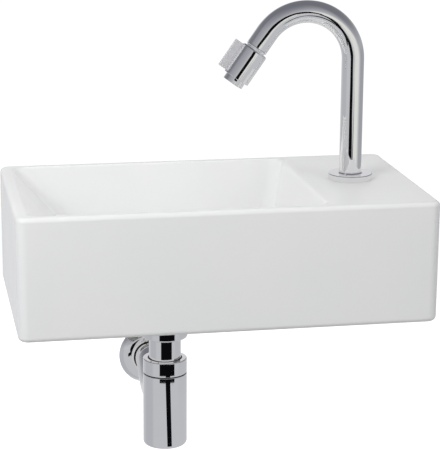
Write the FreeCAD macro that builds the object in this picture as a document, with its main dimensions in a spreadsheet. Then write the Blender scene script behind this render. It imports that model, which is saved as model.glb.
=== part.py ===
import FreeCAD, Part
import math
import os
import Sketcher

# A small wall-hung hand basin: a glazed ceramic body with its tap on the right end, a tall curved
# spout that is opened by a turning sleeve at its mouth, a grid waste and a chromed bottle trap.
# The origin is on the wall, midway between the two wall-fixing holes. +X is to the right for
# someone who stands at the basin, +Y goes into the wall and +Z is up. Lengths are millimetres.

SIZES = {
    # Ceramic body, outside
    "basin_depth": 225.0,
    "basin_height": 118.0,
    "upright_edge_radius": 10.0,
    "top_edge_radius": 4.5,
    "base_edge_radius": 5.0,
    # Bowl, cut into the ceramic body from above
    "rim_left": 12.0,
    "rim_long": 10.0,
    "bowl_length": 279.5,
    "deck_length": 108.5,
    "bowl_drop": 80.0,
    "ramp_angle": 41.5,
    "steep_wall_angle": 11.0,
    "long_wall_angle": 9.0,
    "bowl_corner_radius": 13.0,
    "bowl_floor_radius": 20.0,
    "bowl_edge_radius": 4.0,
    # Hollow under the ceramic body
    "skirt_wall": 10.0,
    "back_wall": 14.0,
    "bowl_wall": 12.0,
    "deck_wall": 12.0,
    "hollow_corner_radius": 8.0,
    # Holes in the ceramic body
    "fixing_drop": 75.0,
    "fixing_from_end": 40.0,
    "fixing_hole_radius": 6.0,
    "drain_from_left": 153.0,
    "dish_radius": 52.0,
    "dish_sink": 3.5,
    "seat_radius": 33.0,
    "drain_hole_radius": 23.0,
    "tap_from_bowl": 48.0,
    "tap_hole_radius": 17.5,
    # Grid waste
    "washer_height": 1.5,
    "grid_radius": 31.5,
    "grid_sheet": 1.5,
    "grid_lip_radius": 25.0,
    "grid_plate_radius": 19.5,
    "grid_sink": 2.6,
    "grid_lip_drop": 0.6,
    "grid_hole_radius": 2.3,
    "grid_hole_ring": 14.5,
    "grid_slot_radius": 1.7,
    "grid_slot_ring": 9.2,
    "screw_radius": 3.0,
    "screw_head_radius": 5.6,
    "screw_head_height": 2.8,
    "screw_slot_width": 1.2,
    "screw_slot_depth": 1.3,
    "screw_length": 43.0,
    "screw_fit": 0.1,
    "upper_washer_radius": 30.0,
    "lower_washer_height": 3.0,
    "lower_washer_taper": 2.0,
    "waste_thread_radius": 20.955,
    "waste_bore_radius": 17.2,
    "waste_lip_height": 5.0,
    "waste_flange_radius": 30.0,
    "waste_flange_height": 2.5,
    "waste_drop": 57.0,
    "waste_boss_radius": 6.0,
    "waste_boss_drop": 33.0,
    "waste_boss_height": 12.0,
    "waste_rib_width": 3.0,
    # Coupling under the waste
    "coupling_radius": 22.5,
    "coupling_height": 22.5,
    "coupling_reach": 10.5,
    "coupling_edge": 1.6,
    "thread_gap": 0.1,
    "flat_washer_height": 2.0,
    "flat_washer_bore": 14.6,
    # Bottle trap
    "pipe_radius": 16.0,
    "pipe_wall": 1.0,
    "pipe_flange_radius": 20.2,
    "pipe_flange_height": 1.5,
    "pipe_end_above_base": 13.5,
    "pipe_show": 22.0,
    "pipe_fit": 0.1,
    "bottle_radius": 22.0,
    "bottle_height": 75.5,
    "bottle_wall": 1.5,
    "bottle_floor": 2.5,
    "bottle_base_radius": 3.5,
    "neck_radius": 19.4,
    "neck_height": 8.0,
    "neck_bore": 17.2,
    "shoulder_height": 3.0,
    "seam_height": 0.6,
    "seam_inset": 0.5,
    "top_nut_height": 15.5,
    "top_nut_mouth": 18.3,
    "top_nut_lip": 2.6,
    "top_nut_edge": 0.9,
    "seal_show": 0.5,
    "slip_washer_height": 1.2,
    # Outlet tube and wall rosette
    "outlet_above_base": 39.5,
    "outlet_rise": 17.0,
    "outlet_bend_radius": 34.0,
    "outlet_bend_from_wall": 14.0,
    "outlet_tail": 45.0,
    "insertion_length": 40.0,
    "insertion_mark_width": 1.0,
    "insertion_mark_depth": 0.3,
    "rosette_radius": 31.5,
    "rosette_rim": 1.6,
    "rosette_depth": 9.0,
    "rosette_flat_radius": 18.5,
    "rosette_sheet": 1.0,
    "rosette_ring_height": 3.0,
    "rosette_ring_radius": 18.5,
    # Tap base and what holds it to the ceramic body
    "tap_flange_radius": 22.0,
    "tap_flange_height": 6.0,
    "tap_flange_edge": 0.8,
    "tap_hub_radius": 14.5,
    "tap_hub_height": 9.0,
    "tap_seal_radius": 20.8,
    "tap_seal_bore": 18.2,
    "tap_seal_height": 1.2,
    "tap_ledge": 1.5,
    "shank_radius": 10.478,
    "shank_bore": 6.5,
    "shank_drop": 58.0,
    "shank_mouth_edge": 1.0,
    "tail_length": 26.0,
    "tail_relief_width": 2.0,
    "tail_relief_depth": 0.8,
    "deck_washer_radius": 24.0,
    "deck_washer_height": 2.0,
    "steel_washer_radius": 22.5,
    "steel_washer_height": 1.6,
    "backnut_across_flats": 30.0,
    "backnut_height": 8.0,
    "backnut_collar_radius": 18.0,
    "backnut_collar_height": 2.0,
    # Spout
    "spout_radius": 11.0,
    "spout_wall": 1.2,
    "spout_arch_height": 119.5,
    "spout_arch_radius": 47.5,
    "spout_turn": 145.0,
    "spout_straight": 16.5,
    "spout_fit": 0.05,
    # Valve at the spout's mouth: lengths run along its axis from the end of the arch
    "core_spigot_start": 8.0,
    "core_bore": 6.0,
    "neck_ring_radius": 10.4,
    "neck_ring_end": 19.2,
    "core_radius": 9.0,
    "core_end": 33.5,
    "core_cup_depth": 2.5,
    "running_gap": 0.06,
    "o_ring_start": 22.4,
    "o_ring_section": 1.6,
    "groove_play": 0.2,
    "snap_ring_start": 28.1,
    "snap_ring_height": 1.0,
    "snap_ring_bore": 8.0,
    "snap_ring_radius": 10.0,
    "snap_ring_split": 4.0,
    "snap_ring_play": 0.1,
    "disc_radius": 8.0,
    "disc_height": 3.0,
    "disc_seal_height": 1.2,
    "disc_seal_bore": 6.2,
    "disc_window_radius": 5.6,
    "disc_window_hub": 1.6,
    "disc_window_angle": 80.0,
    "disc_key_width": 2.4,
    "disc_key_depth": 1.2,
    "disc_gap": 0.05,
    "carrier_height": 4.8,
    "carrier_bore": 6.2,
    "carrier_key_height": 1.6,
    "sleeve_radius": 13.5,
    "sleeve_start": 19.6,
    "sleeve_length": 33.0,
    "sleeve_bore": 9.7,
    "sleeve_edge": 0.9,
    "press_gap": 0.05,
    "blade_length": 30.0,
    "blade_reach": 22.0,
    "blade_seat": 11.6,
    "blade_thickness": 4.5,
    "blade_edge": 0.6,
    "aerator_washer_height": 1.5,
    "aerator_washer_bore": 7.0,
    "aerator_radius": 10.5,
    "aerator_show": 6.0,
    "aerator_bore": 8.4,
    "aerator_mouth": 7.6,
    "aerator_lip": 1.0,
    "aerator_edge": 0.5,
    "insert_height": 9.0,
    "insert_gap": 0.2,
    "insert_cell": 1.6,
    "insert_cell_wall": 0.7,
    # One overrun serves every cut that has to pass a face
    "overrun": 2.0,
}

# The aerator's cells lie in a honeycomb of this many rings round the middle one
CELL_RINGS = 3

doc = FreeCAD.newDocument("hand_basin")
sheet = doc.addObject("Spreadsheet::Sheet", "size")
for row, (name, number) in enumerate(SIZES.items(), start=1):
    sheet.set(f"A{row}", name)
    sheet.set(f"B{row}", str(number))
    sheet.setAlias(f"B{row}", name)
doc.recompute()


class Size:
    """A length, an angle or a ratio: its formula on the sheet's cells, and what it comes to."""

    def __init__(self, formula, value):
        self.formula = formula
        self.value = value

    def joined(self, sign, other, value):
        return Size(f"({self.formula} {sign} {other.formula})", value)

    def __add__(self, other):
        other = as_size(other)
        return self.joined("+", other, self.value + other.value)

    def __sub__(self, other):
        other = as_size(other)
        return self.joined("-", other, self.value - other.value)

    def __mul__(self, other):
        other = as_size(other)
        return self.joined("*", other, self.value * other.value)

    def __truediv__(self, other):
        other = as_size(other)
        return self.joined("/", other, self.value / other.value)

    def __neg__(self):
        return Size(f"(0 - {self.formula})", -self.value)

    def is_zero(self):
        return abs(self.value) < 1e-9


def as_size(number):
    return number if isinstance(number, Size) else Size(repr(number), float(number))


def sin(angle):
    return Size(f"sin({angle.formula})", math.sin(math.radians(angle.value)))


def cos(angle):
    return Size(f"cos({angle.formula})", math.cos(math.radians(angle.value)))


def tan(angle):
    return Size(f"tan({angle.formula})", math.tan(math.radians(angle.value)))


def arc_cosine(ratio):
    return Size(f"acos({ratio.formula})", math.degrees(math.acos(ratio.value)))


class Sheet:
    def __getattr__(self, alias):
        return Size(f"size.{alias}", SIZES[alias])


size = Sheet()
zero = as_size(0)

# Places that several pieces share
rim_z = size.fixing_drop
base_z = rim_z - size.basin_height
basin_width = size.rim_left + size.bowl_length + size.deck_length
left_x = -(basin_width / 2)
right_x = basin_width / 2
middle_y = -(size.basin_depth / 2)
drain_x = left_x + size.drain_from_left
seat_z = rim_z - size.bowl_drop - size.dish_sink
tap_x = right_x - size.deck_length + size.tap_from_bowl

# Down the waste and the trap: the inlet tube's flange hangs under the waste, the coupling nut reaches
# below it, and the bottle hangs so that a set length of tube shows between the two nuts
pipe_flange_z = seat_z - size.waste_drop - size.flat_washer_height - size.pipe_flange_height
coupling_z = pipe_flange_z - size.coupling_reach
bottle_z = coupling_z - size.pipe_show - size.top_nut_height - size.bottle_height
outlet_z = bottle_z + size.outlet_above_base + size.outlet_rise

pieces = []


# Ways of making a piece
def new_body(label, x=zero, y=zero, z=zero, axis=None, angle=None):
    """A piece whose own frame stands at x, y, z, turned about axis by angle."""
    body = doc.addObject("PartDesign::Body", label)
    body.Label = label
    if axis:
        turn_about = FreeCAD.Rotation(FreeCAD.Vector(*axis), angle.value)
        body.Placement = FreeCAD.Placement(FreeCAD.Vector(), turn_about)
        body.setExpression("Placement.Rotation.Angle", angle.formula)
    for way, place in zip("xyz", (x, y, z)):
        body.setExpression(f"Placement.Base.{way}", place.formula)
    pieces.append(body)
    return body


def arc_between(start, end, radius, side):
    """The short arc from start to end, with its centre on the left of the way for side 1."""
    way = end - start
    across = FreeCAD.Vector(-way.y, way.x, 0)
    across.normalize()
    off = math.sqrt(max(radius ** 2 - (way.Length / 2) ** 2, 0))
    centre = (start + end) * 0.5 + across * (side * off)
    first, last = (start, end) if side > 0 else (end, start)
    angles = [math.atan2((p - centre).y, (p - centre).x) for p in (first, last)]
    if angles[1] < angles[0]:
        angles[1] += 2 * math.pi
    circle = Part.Circle(centre, FreeCAD.Vector(0, 0, 1), radius)
    return Part.ArcOfCircle(circle, angles[0], angles[1])


def draw(sketch, corners, closed=True):
    """Draw lines and arcs from corner to corner, each corner held by its own two formulas.
    A corner is (x, y), or (x, y, radius, side) where the stretch that leaves it is an arc."""
    points = [FreeCAD.Vector(as_size(c[0]).value, as_size(c[1]).value, 0) for c in corners]
    count = len(corners) if closed else len(corners) - 1
    rules = []
    bound = []
    starts = []
    ends = []
    for i in range(count):
        start = points[i]
        end = points[(i + 1) % len(points)]
        if len(corners[i]) == 4:
            radius, side = corners[i][2:]
            number = sketch.addGeometry(arc_between(start, end, radius.value, side), False)
            starts.append((number, 1 if side > 0 else 2))
            ends.append((number, 2 if side > 0 else 1))
            bound.append((len(rules), radius))
            rules.append(Sketcher.Constraint("Radius", number, radius.value))
        else:
            number = sketch.addGeometry(Part.LineSegment(start, end), False)
            starts.append((number, 1))
            ends.append((number, 2))
    for i in range(count if closed else count - 1):
        rules.append(Sketcher.Constraint("Coincident", *ends[i], *starts[(i + 1) % count]))
    held = starts if closed else starts + [ends[-1]]
    for corner, point in zip(corners, held):
        for rule, axis, place in (("DistanceX", -2, corner[0]), ("DistanceY", -1, corner[1])):
            place = as_size(place)
            if place.is_zero():
                rules.append(Sketcher.Constraint("PointOnObject", *point, axis))
            else:
                bound.append((len(rules), place))
                rules.append(Sketcher.Constraint(rule, -1, 1, *point, place.value))
    offset = sketch.ConstraintCount
    sketch.addConstraint(rules)
    for number, place in bound:
        sketch.setExpression(f"Constraints[{offset + number}]", place.formula)


def draw_circle(sketch, x, y, radius):
    centre = FreeCAD.Vector(as_size(x).value, as_size(y).value, 0)
    number = sketch.addGeometry(Part.Circle(centre, FreeCAD.Vector(0, 0, 1), radius.value), False)
    bind = [("Radius", (number,), radius)]
    rules = []
    for rule, axis, place in (("DistanceX", -2, as_size(x)), ("DistanceY", -1, as_size(y))):
        if place.is_zero():
            rules.append(Sketcher.Constraint("PointOnObject", number, 3, axis))
        else:
            bind.append((rule, (-1, 1, number, 3), place))
    offset = sketch.ConstraintCount
    for rule, where, place in bind:
        rules.append(Sketcher.Constraint(rule, *where, place.value))
    sketch.addConstraint(rules)
    plain = len(rules) - len(bind)
    for i, (rule, where, place) in enumerate(bind):
        sketch.setExpression(f"Constraints[{offset + plain + i}]", place.formula)


def new_sketch(body, name, role, lift=None, shift=None, rise=None):
    """A sketch on one of the body's own origin planes, moved off it by lift along the plane's
    normal, and along the sketch's own axes by shift and rise."""
    sketch = body.newObject("Sketcher::SketchObject", name)
    plane = next(p for p in body.Origin.OriginFeatures if p.Role == role)
    sketch.AttachmentSupport = [(plane, "")]
    sketch.MapMode = "FlatFace"
    for way, place in (("z", lift), ("x", shift), ("y", rise)):
        if place is not None:
            sketch.setExpression(f"AttachmentOffset.Base.{way}", place.formula)
    return sketch


def pad(body, name, role, corners, length, lift=None, both_ways=False, backwards=False):
    sketch = new_sketch(body, name + "_sketch", role, lift)
    draw(sketch, corners)
    feature = body.newObject("PartDesign::Pad", name)
    feature.Profile = sketch
    feature.setExpression("Length", length.formula)
    feature.Midplane = both_ways
    feature.Reversed = backwards
    return feature


def cut_out(body, name, sketch, length, both_ways=False, backwards=False):
    """Cut the sketch's outline out of the body, and make sure that it took something away."""
    doc.recompute()
    before = body.Shape.Volume
    feature = body.newObject("PartDesign::Pocket", name)
    feature.Profile = sketch
    feature.setExpression("Length", length.formula)
    feature.Midplane = both_ways
    feature.Reversed = backwards
    doc.recompute()
    if body.Shape.Volume >= before:
        raise RuntimeError(f"{name} cuts nothing")
    return feature


def turn(body, name, corners, kind="PartDesign::Revolution", lift=None, shift=None):
    """Revolve an outline of (radius, height) corners about the sketch's upright axis."""
    sketch = new_sketch(body, name + "_sketch", "XZ_Plane", lift, shift)
    draw(sketch, corners)
    feature = body.newObject(kind, name)
    feature.Profile = sketch
    feature.ReferenceAxis = (sketch, ["V_Axis"])
    feature.Angle = 360.0
    return feature


def turn_away(body, name, corners, lift=None, shift=None):
    """Cut a revolved outline out of the body, and make sure that it took something away."""
    doc.recompute()
    before = body.Shape.Volume
    turn(body, name, corners, "PartDesign::Groove", lift, shift)
    doc.recompute()
    if body.Shape.Volume >= before:
        raise RuntimeError(f"{name} cuts nothing")


def turned(label, corners, **place):
    body = new_body(label, **place)
    turn(body, label + "_turning", corners)
    return body


def round_off(body, name, radius, wanted, kind="PartDesign::Fillet"):
    """Fillet, or chamfer, the edges of the body that wanted picks out."""
    doc.recompute()
    base = body.Tip
    names = [f"Edge{i}" for i, edge in enumerate(base.Shape.Edges, start=1) if wanted(edge)]
    if not names:
        raise RuntimeError(f"{name} has no edges")
    feature = body.newObject(kind, name)
    feature.Base = (base, names)
    feature.setExpression("Radius" if kind.endswith("Fillet") else "Size", radius.formula)
    return feature


def ring_of(body, feature, count):
    """Repeat a feature evenly about the body's own upright axis."""
    doc.recompute()
    pattern = body.newObject("PartDesign::PolarPattern", feature.Name + "_ring")
    pattern.Originals = [feature]
    axis = next(a for a in body.Origin.OriginFeatures if a.Role == "Z_Axis")
    pattern.Axis = (axis, [""])
    pattern.Angle = 360.0
    pattern.Occurrences = count
    body.Tip = pattern
    return pattern


def bent_tube(label, route, radius, wall, **place):
    """A tube swept along a route of straight runs and arcs in the body's own XZ plane, which
    starts upwards from the body's origin."""
    body = new_body(label, **place)
    spine = new_sketch(body, label + "_route", "XZ_Plane")
    draw(spine, route, closed=False)
    section = new_sketch(body, label + "_section", "XY_Plane")
    draw_circle(section, zero, zero, radius)
    draw_circle(section, zero, zero, radius - wall)
    pipe = body.newObject("PartDesign::AdditivePipe", label + "_pipe")
    pipe.Profile = section
    pipe.Spine = (spine, [f"Edge{i}" for i in range(1, len(route))])
    return body


def near(a, b):
    return abs(a - b) < 1e-4


def is_upright(edge):
    ends = [v.Point for v in edge.Vertexes]
    return len(ends) == 2 and near(ends[0].x, ends[1].x) and near(ends[0].y, ends[1].y)


# Ceramic body: its own frame has the same X and Y as the part, and stands on its lower edge
def make_bowl_form():
    """The space inside the bowl: a ramp on the left, a steep wall on the right and two long walls."""
    body = new_body("bowl_form")
    pieces.remove(body)
    top = size.basin_height
    floor = top - size.bowl_drop
    left = left_x + size.rim_left
    right = left + size.bowl_length
    across = [
        (left, top),
        (right, top),
        (right - size.bowl_drop * tan(size.steep_wall_angle), floor),
        (left + size.bowl_drop * tan(size.ramp_angle), floor),
    ]
    width = size.basin_depth - size.rim_long * 2
    pad(body, "bowl_length_form", "XZ_Plane", across, width, lift=-middle_y, both_ways=True)
    lean = size.bowl_drop * tan(size.long_wall_angle)
    back = -size.rim_long
    front = -(size.basin_depth - size.rim_long)
    for name, start, way in (("back_lean", back, -1), ("front_lean", front, 1)):
        sketch = new_sketch(body, name + "_sketch", "YZ_Plane")
        wedge = [(start, top), (start + lean * way, floor), (start, floor)]
        draw(sketch, wedge)
        cut_out(body, name, sketch, basin_width + size.overrun * 2, both_ways=True)

    def at_floor(edge):
        return all(near(v.Point.z, floor.value) for v in edge.Vertexes)

    def at_corner(edge):
        heights = sorted(v.Point.z for v in edge.Vertexes)
        return near(heights[-1], top.value) and not near(heights[0], top.value)

    round_off(body, "bowl_floor_round", size.bowl_floor_radius, at_floor)
    round_off(body, "bowl_corner_round", size.bowl_corner_radius, at_corner)
    return body


def make_basin():
    body = new_body("basin", z=base_z)
    outline = [(left_x, -size.basin_depth), (right_x, -size.basin_depth), (right_x, zero), (left_x, zero)]
    pad(body, "block", "XY_Plane", outline, size.basin_height)
    height = size.basin_height.value

    def at_height(edge, z):
        return all(near(v.Point.z, z) for v in edge.Vertexes)

    round_off(body, "upright_edges", size.upright_edge_radius, is_upright)
    round_off(body, "top_edges", size.top_edge_radius, lambda e: at_height(e, height))
    round_off(body, "base_edges", size.base_edge_radius, lambda e: at_height(e, 0))

    form = make_bowl_form()
    doc.recompute()
    bowl = body.newObject("PartDesign::Boolean", "bowl")
    bowl.setObjects([form])
    bowl.Type = "Cut"
    doc.recompute()

    inner_front = -(size.basin_depth - size.rim_long).value
    left = (left_x + size.rim_left).value
    right = left + size.bowl_length.value

    def at_bowl_mouth(edge):
        box = edge.BoundBox
        inside = box.XMin > left - 1 and box.XMax < right + 1
        return inside and at_height(edge, height) and box.YMin > inner_front - 1 and box.YMax < -1

    round_off(body, "bowl_mouth", size.bowl_edge_radius, at_bowl_mouth)

    # The hollow below follows the bowl's ramp, floor and steep wall at the ceramic's thickness
    top = size.basin_height
    wall = size.bowl_wall
    under_floor = top - size.bowl_drop - wall
    reach = size.bowl_drop + wall
    ramp_left = left_x + size.rim_left - wall / cos(size.ramp_angle)
    steep = left_x + size.rim_left + size.bowl_length + wall / cos(size.steep_wall_angle)
    skirt_left = left_x + size.skirt_wall
    hollow = [
        (skirt_left, -size.overrun),
        (skirt_left, top - (skirt_left - ramp_left) / tan(size.ramp_angle)),
        (ramp_left + reach * tan(size.ramp_angle), under_floor),
        (steep - reach * tan(size.steep_wall_angle), under_floor),
        (steep - size.deck_wall * tan(size.steep_wall_angle), top - size.deck_wall),
        (right_x - size.skirt_wall, top - size.deck_wall),
        (right_x - size.skirt_wall, -size.overrun),
    ]
    hollow_depth = size.basin_depth - size.skirt_wall - size.back_wall
    sketch = new_sketch(body, "hollow_sketch", "XZ_Plane", lift=size.back_wall + hollow_depth / 2)
    draw(sketch, hollow)
    cut_out(body, "hollow", sketch, hollow_depth, both_ways=True)
    inner_right = (right_x - size.skirt_wall).value

    def at_hollow_corner(edge):
        where = edge.BoundBox
        at_side = near(where.XMin, skirt_left.value) or near(where.XMax, inner_right)
        inside = where.YMax < -1 and where.YMin > 1 - size.basin_depth.value
        return is_upright(edge) and at_side and inside

    round_off(body, "hollow_corners", size.hollow_corner_radius, at_hollow_corner)

    # A shallow dish leads the water to the seat of the waste
    drain_floor = top - size.bowl_drop
    seat = drain_floor - size.dish_sink
    dish = [(zero, drain_floor + size.overrun), (size.dish_radius, drain_floor + size.overrun),
            (size.dish_radius, drain_floor), (size.seat_radius, seat), (size.drain_hole_radius, seat),
            (size.drain_hole_radius, under_floor - size.overrun), (zero, under_floor - size.overrun)]
    turn_away(body, "drain", dish, lift=-middle_y, shift=drain_x)

    sketch = new_sketch(body, "tap_hole_sketch", "XY_Plane", lift=top + size.overrun)
    draw_circle(sketch, tap_x, middle_y, size.tap_hole_radius)
    cut_out(body, "tap_hole", sketch, size.deck_wall + size.overrun * 2)

    sketch = new_sketch(body, "fixing_sketch", "XZ_Plane", lift=-size.overrun)
    for side in (-1, 1):
        fixing_x = (right_x - size.fixing_from_end) * side
        draw_circle(sketch, fixing_x, top - size.fixing_drop, size.fixing_hole_radius)
    cut_out(body, "fixing_holes", sketch, size.back_wall + size.overrun * 2, backwards=True)


make_basin()


# Waste: heights are from the seat in the bowl's floor, on the drain's axis
def make_waste():
    place = {"x": drain_x, "y": middle_y, "z": seat_z}
    under = -(size.bowl_wall - size.dish_sink)
    height = size.washer_height
    turned("waste_upper_washer", [
        (size.grid_lip_radius, zero), (size.upper_washer_radius, zero),
        (size.upper_washer_radius, height), (size.grid_lip_radius, height)], **place)

    sheet_top = height + size.grid_sheet
    plate_top = sheet_top - size.grid_sink
    plate_base = plate_top - size.grid_sheet
    head_base = plate_top - size.screw_head_height
    grid = turned("waste_grid", [
        (size.screw_radius + size.screw_fit, head_base),
        (size.screw_head_radius + size.screw_fit, plate_top),
        (size.grid_plate_radius, plate_top),
        (size.grid_lip_radius, sheet_top - size.grid_lip_drop),
        (size.grid_radius - size.grid_sheet, sheet_top),
        (size.grid_radius, sheet_top - size.grid_sheet / 2),
        (size.grid_radius, height),
        (size.grid_lip_radius, height),
        (size.grid_plate_radius + size.grid_sheet, plate_base),
        (size.screw_head_radius + size.grid_sheet * 2, plate_base),
        (size.screw_head_radius, head_base)], **place)
    for name, count, ring, radius in (
            ("grid_hole", 14, size.grid_hole_ring, size.grid_hole_radius),
            ("grid_slot", 8, size.grid_slot_ring, size.grid_slot_radius)):
        sketch = new_sketch(grid, name + "_sketch", "XY_Plane", lift=plate_top + size.overrun)
        draw_circle(sketch, ring, zero, radius)
        hole = cut_out(grid, name, sketch, size.grid_sheet + size.screw_head_height + size.overrun * 2)
        ring_of(grid, hole, count)

    screw = turned("waste_screw", [
        (zero, plate_top - size.screw_length), (size.screw_radius, plate_top - size.screw_length),
        (size.screw_radius, head_base), (size.screw_head_radius, plate_top), (zero, plate_top)], **place)
    sketch = new_sketch(screw, "screw_slot_sketch", "XZ_Plane")
    across = size.screw_slot_width / 2
    slot_base = plate_top - size.screw_slot_depth
    draw(sketch, [(-across, slot_base), (across, slot_base), (across, plate_top + size.overrun),
                  (-across, plate_top + size.overrun)])
    cut_out(screw, "screw_slot", sketch, size.screw_head_radius * 2 + size.overrun, both_ways=True)

    washer_base = under - size.lower_washer_height
    thread = size.waste_thread_radius
    turned("waste_lower_washer", [
        (thread + size.thread_gap, under), (size.waste_flange_radius, under),
        (size.waste_flange_radius - size.lower_washer_taper, washer_base),
        (thread + size.thread_gap, washer_base)], **place)

    end = -size.waste_drop
    flange_base = washer_base - size.waste_flange_height
    lip_top = washer_base + size.waste_lip_height
    waste = turned("waste_body", [
        (size.waste_bore_radius, end), (thread, end), (thread, flange_base),
        (size.waste_flange_radius, flange_base), (size.waste_flange_radius, washer_base),
        (thread, washer_base), (thread, lip_top), (size.waste_bore_radius, lip_top)], **place)
    boss_top = -size.waste_boss_drop
    boss_base = boss_top - size.waste_boss_height
    rib = size.waste_rib_width / 2
    inside = size.waste_bore_radius + size.press_gap
    spokes = [(rib, inside), (-rib, inside), (-rib, -inside), (rib, -inside)]
    rib_height = size.waste_boss_height / 2
    pad(waste, "rib_across", "XY_Plane", spokes, rib_height, lift=boss_base)
    turned_spokes = [(y, x) for x, y in reversed(spokes)]
    pad(waste, "rib_along", "XY_Plane", turned_spokes, rib_height, lift=boss_base)
    boss = size.waste_boss_radius
    turn(waste, "boss", [(zero, boss_base), (boss, boss_base), (boss, boss_top), (zero, boss_top)])
    sketch = new_sketch(waste, "boss_thread_sketch", "XY_Plane", lift=boss_top + size.overrun)
    draw_circle(sketch, zero, zero, size.screw_radius + size.press_gap)
    cut_out(waste, "boss_thread", sketch, size.waste_boss_height + size.overrun * 2)

    # The coupling nut draws the inlet tube's flange up against a flat washer
    washer = end - size.flat_washer_height
    turned("trap_flat_washer", [
        (size.flat_washer_bore, washer), (size.pipe_flange_radius, washer),
        (size.pipe_flange_radius, end), (size.flat_washer_bore, end)], **place)
    flange = pipe_flange_z - seat_z
    pipe_end = bottle_z + size.pipe_end_above_base - seat_z
    bore = size.pipe_radius - size.pipe_wall
    turned("trap_inlet_tube", [
        (bore, pipe_end), (size.pipe_radius, pipe_end), (size.pipe_radius, flange),
        (size.pipe_flange_radius, flange), (size.pipe_flange_radius, washer), (bore, washer)], **place)
    nut_base = coupling_z - seat_z
    nut_top = nut_base + size.coupling_height
    edge = size.coupling_edge
    nut = size.coupling_radius
    hole = size.pipe_radius + size.pipe_fit
    turned("trap_coupling_nut", [
        (hole, nut_base), (nut - edge, nut_base, edge, 1), (nut, nut_base + edge), (nut, nut_top - edge / 2),
        (nut - edge / 2, nut_top), (thread + size.thread_gap, nut_top), (thread + size.thread_gap, flange),
        (hole, flange)], **place)


make_waste()


# Bottle trap: heights are from the underside of the bottle, on the drain's axis
def make_trap():
    place = {"x": drain_x, "y": middle_y, "z": bottle_z}
    bottle = size.bottle_radius
    inside = bottle - size.bottle_wall
    height = size.bottle_height
    neck_top = height + size.neck_height
    shoulder = height - size.shoulder_height
    body = turned("trap_body", [
        (zero, zero), (bottle - size.bottle_base_radius, zero, size.bottle_base_radius, 1),
        (bottle, size.bottle_base_radius), (bottle, height), (size.neck_radius, height),
        (size.neck_radius, neck_top), (size.neck_bore, neck_top), (size.neck_bore, shoulder),
        (inside, shoulder), (inside, size.bottle_floor), (zero, size.bottle_floor)], **place)
    sketch = new_sketch(body, "outlet_hole_sketch", "XZ_Plane")
    draw_circle(sketch, zero, size.outlet_above_base, size.pipe_radius - size.pipe_wall)
    cut_out(body, "outlet_hole", sketch, bottle + size.overrun)

    seam = size.neck_radius + size.press_gap
    seam_rim = bottle - size.seam_inset
    seam_top = height + size.seam_height
    turned("trap_seam_ring", [
        (seam, height), (seam_rim, height), (seam_rim, seam_top), (seam, seam_top)], **place)

    nut_top = height + size.top_nut_height
    lip_base = nut_top - size.top_nut_lip
    slope = size.neck_radius + size.thread_gap - size.top_nut_mouth
    edge = size.top_nut_edge
    thread = size.neck_radius + size.thread_gap
    turned("trap_top_nut", [
        (thread, seam_top), (bottle, seam_top), (bottle, nut_top - edge, edge, 1), (bottle - edge, nut_top),
        (size.top_nut_mouth, nut_top), (size.top_nut_mouth, lip_base), (thread, lip_base - slope)], **place)

    washer_top = neck_top + size.slip_washer_height
    fit = size.pipe_radius + size.press_gap
    loose = size.pipe_radius + size.pipe_fit
    turned("trap_slip_washer", [
        (loose, neck_top), (size.neck_radius, neck_top), (size.neck_radius, washer_top), (loose, washer_top)],
        **place)
    mouth = size.top_nut_mouth - size.press_gap
    cone_top = lip_base - size.press_gap
    seal_top = nut_top - size.seal_show
    turned("trap_cone_seal", [
        (fit, washer_top), (size.neck_radius, washer_top), (size.neck_radius, cone_top - slope),
        (mouth, cone_top), (mouth, seal_top), (fit, seal_top)], **place)


make_trap()


# Outlet tube: it leaves the back of the bottle level, rises through two equal bends and goes level
# into the wall. Its own frame starts on the bottle's axis: its Z goes to the wall and its X up.
def make_outlet():
    radius = size.outlet_bend_radius
    rise = size.outlet_rise
    run = radius * sin(arc_cosine(as_size(1) - rise / radius / 2))
    wall = -middle_y
    bend_end = wall - size.outlet_bend_from_wall
    route = [
        (zero, zero), (zero, bend_end - run * 2, radius, -1), (rise / 2, bend_end - run, radius, 1),
        (rise, bend_end), (rise, wall + size.outlet_tail)]
    body = bent_tube("trap_outlet_tube", route, size.pipe_radius, size.pipe_wall, x=drain_x, y=middle_y,
                     z=bottle_z + size.outlet_above_base, axis=(1, 1, 1), angle=as_size(240))
    saddle = new_sketch(body, "saddle_sketch", "YZ_Plane")
    draw_circle(saddle, zero, zero, size.bottle_radius)
    cut_out(body, "saddle", saddle, size.bottle_radius * 2, both_ways=True)

    # A fine groove round the tube marks how deep its tail goes into the drain in the wall
    mark = wall + size.outlet_tail - size.insertion_length
    mark_floor = size.pipe_radius - size.insertion_mark_depth
    mark_rim = size.pipe_radius + size.overrun
    turn_away(body, "insertion_mark", [
        (mark_floor, mark - size.insertion_mark_width), (mark_rim, mark - size.insertion_mark_width),
        (mark_rim, mark), (mark_floor, mark)], shift=rise)


make_outlet()


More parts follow.
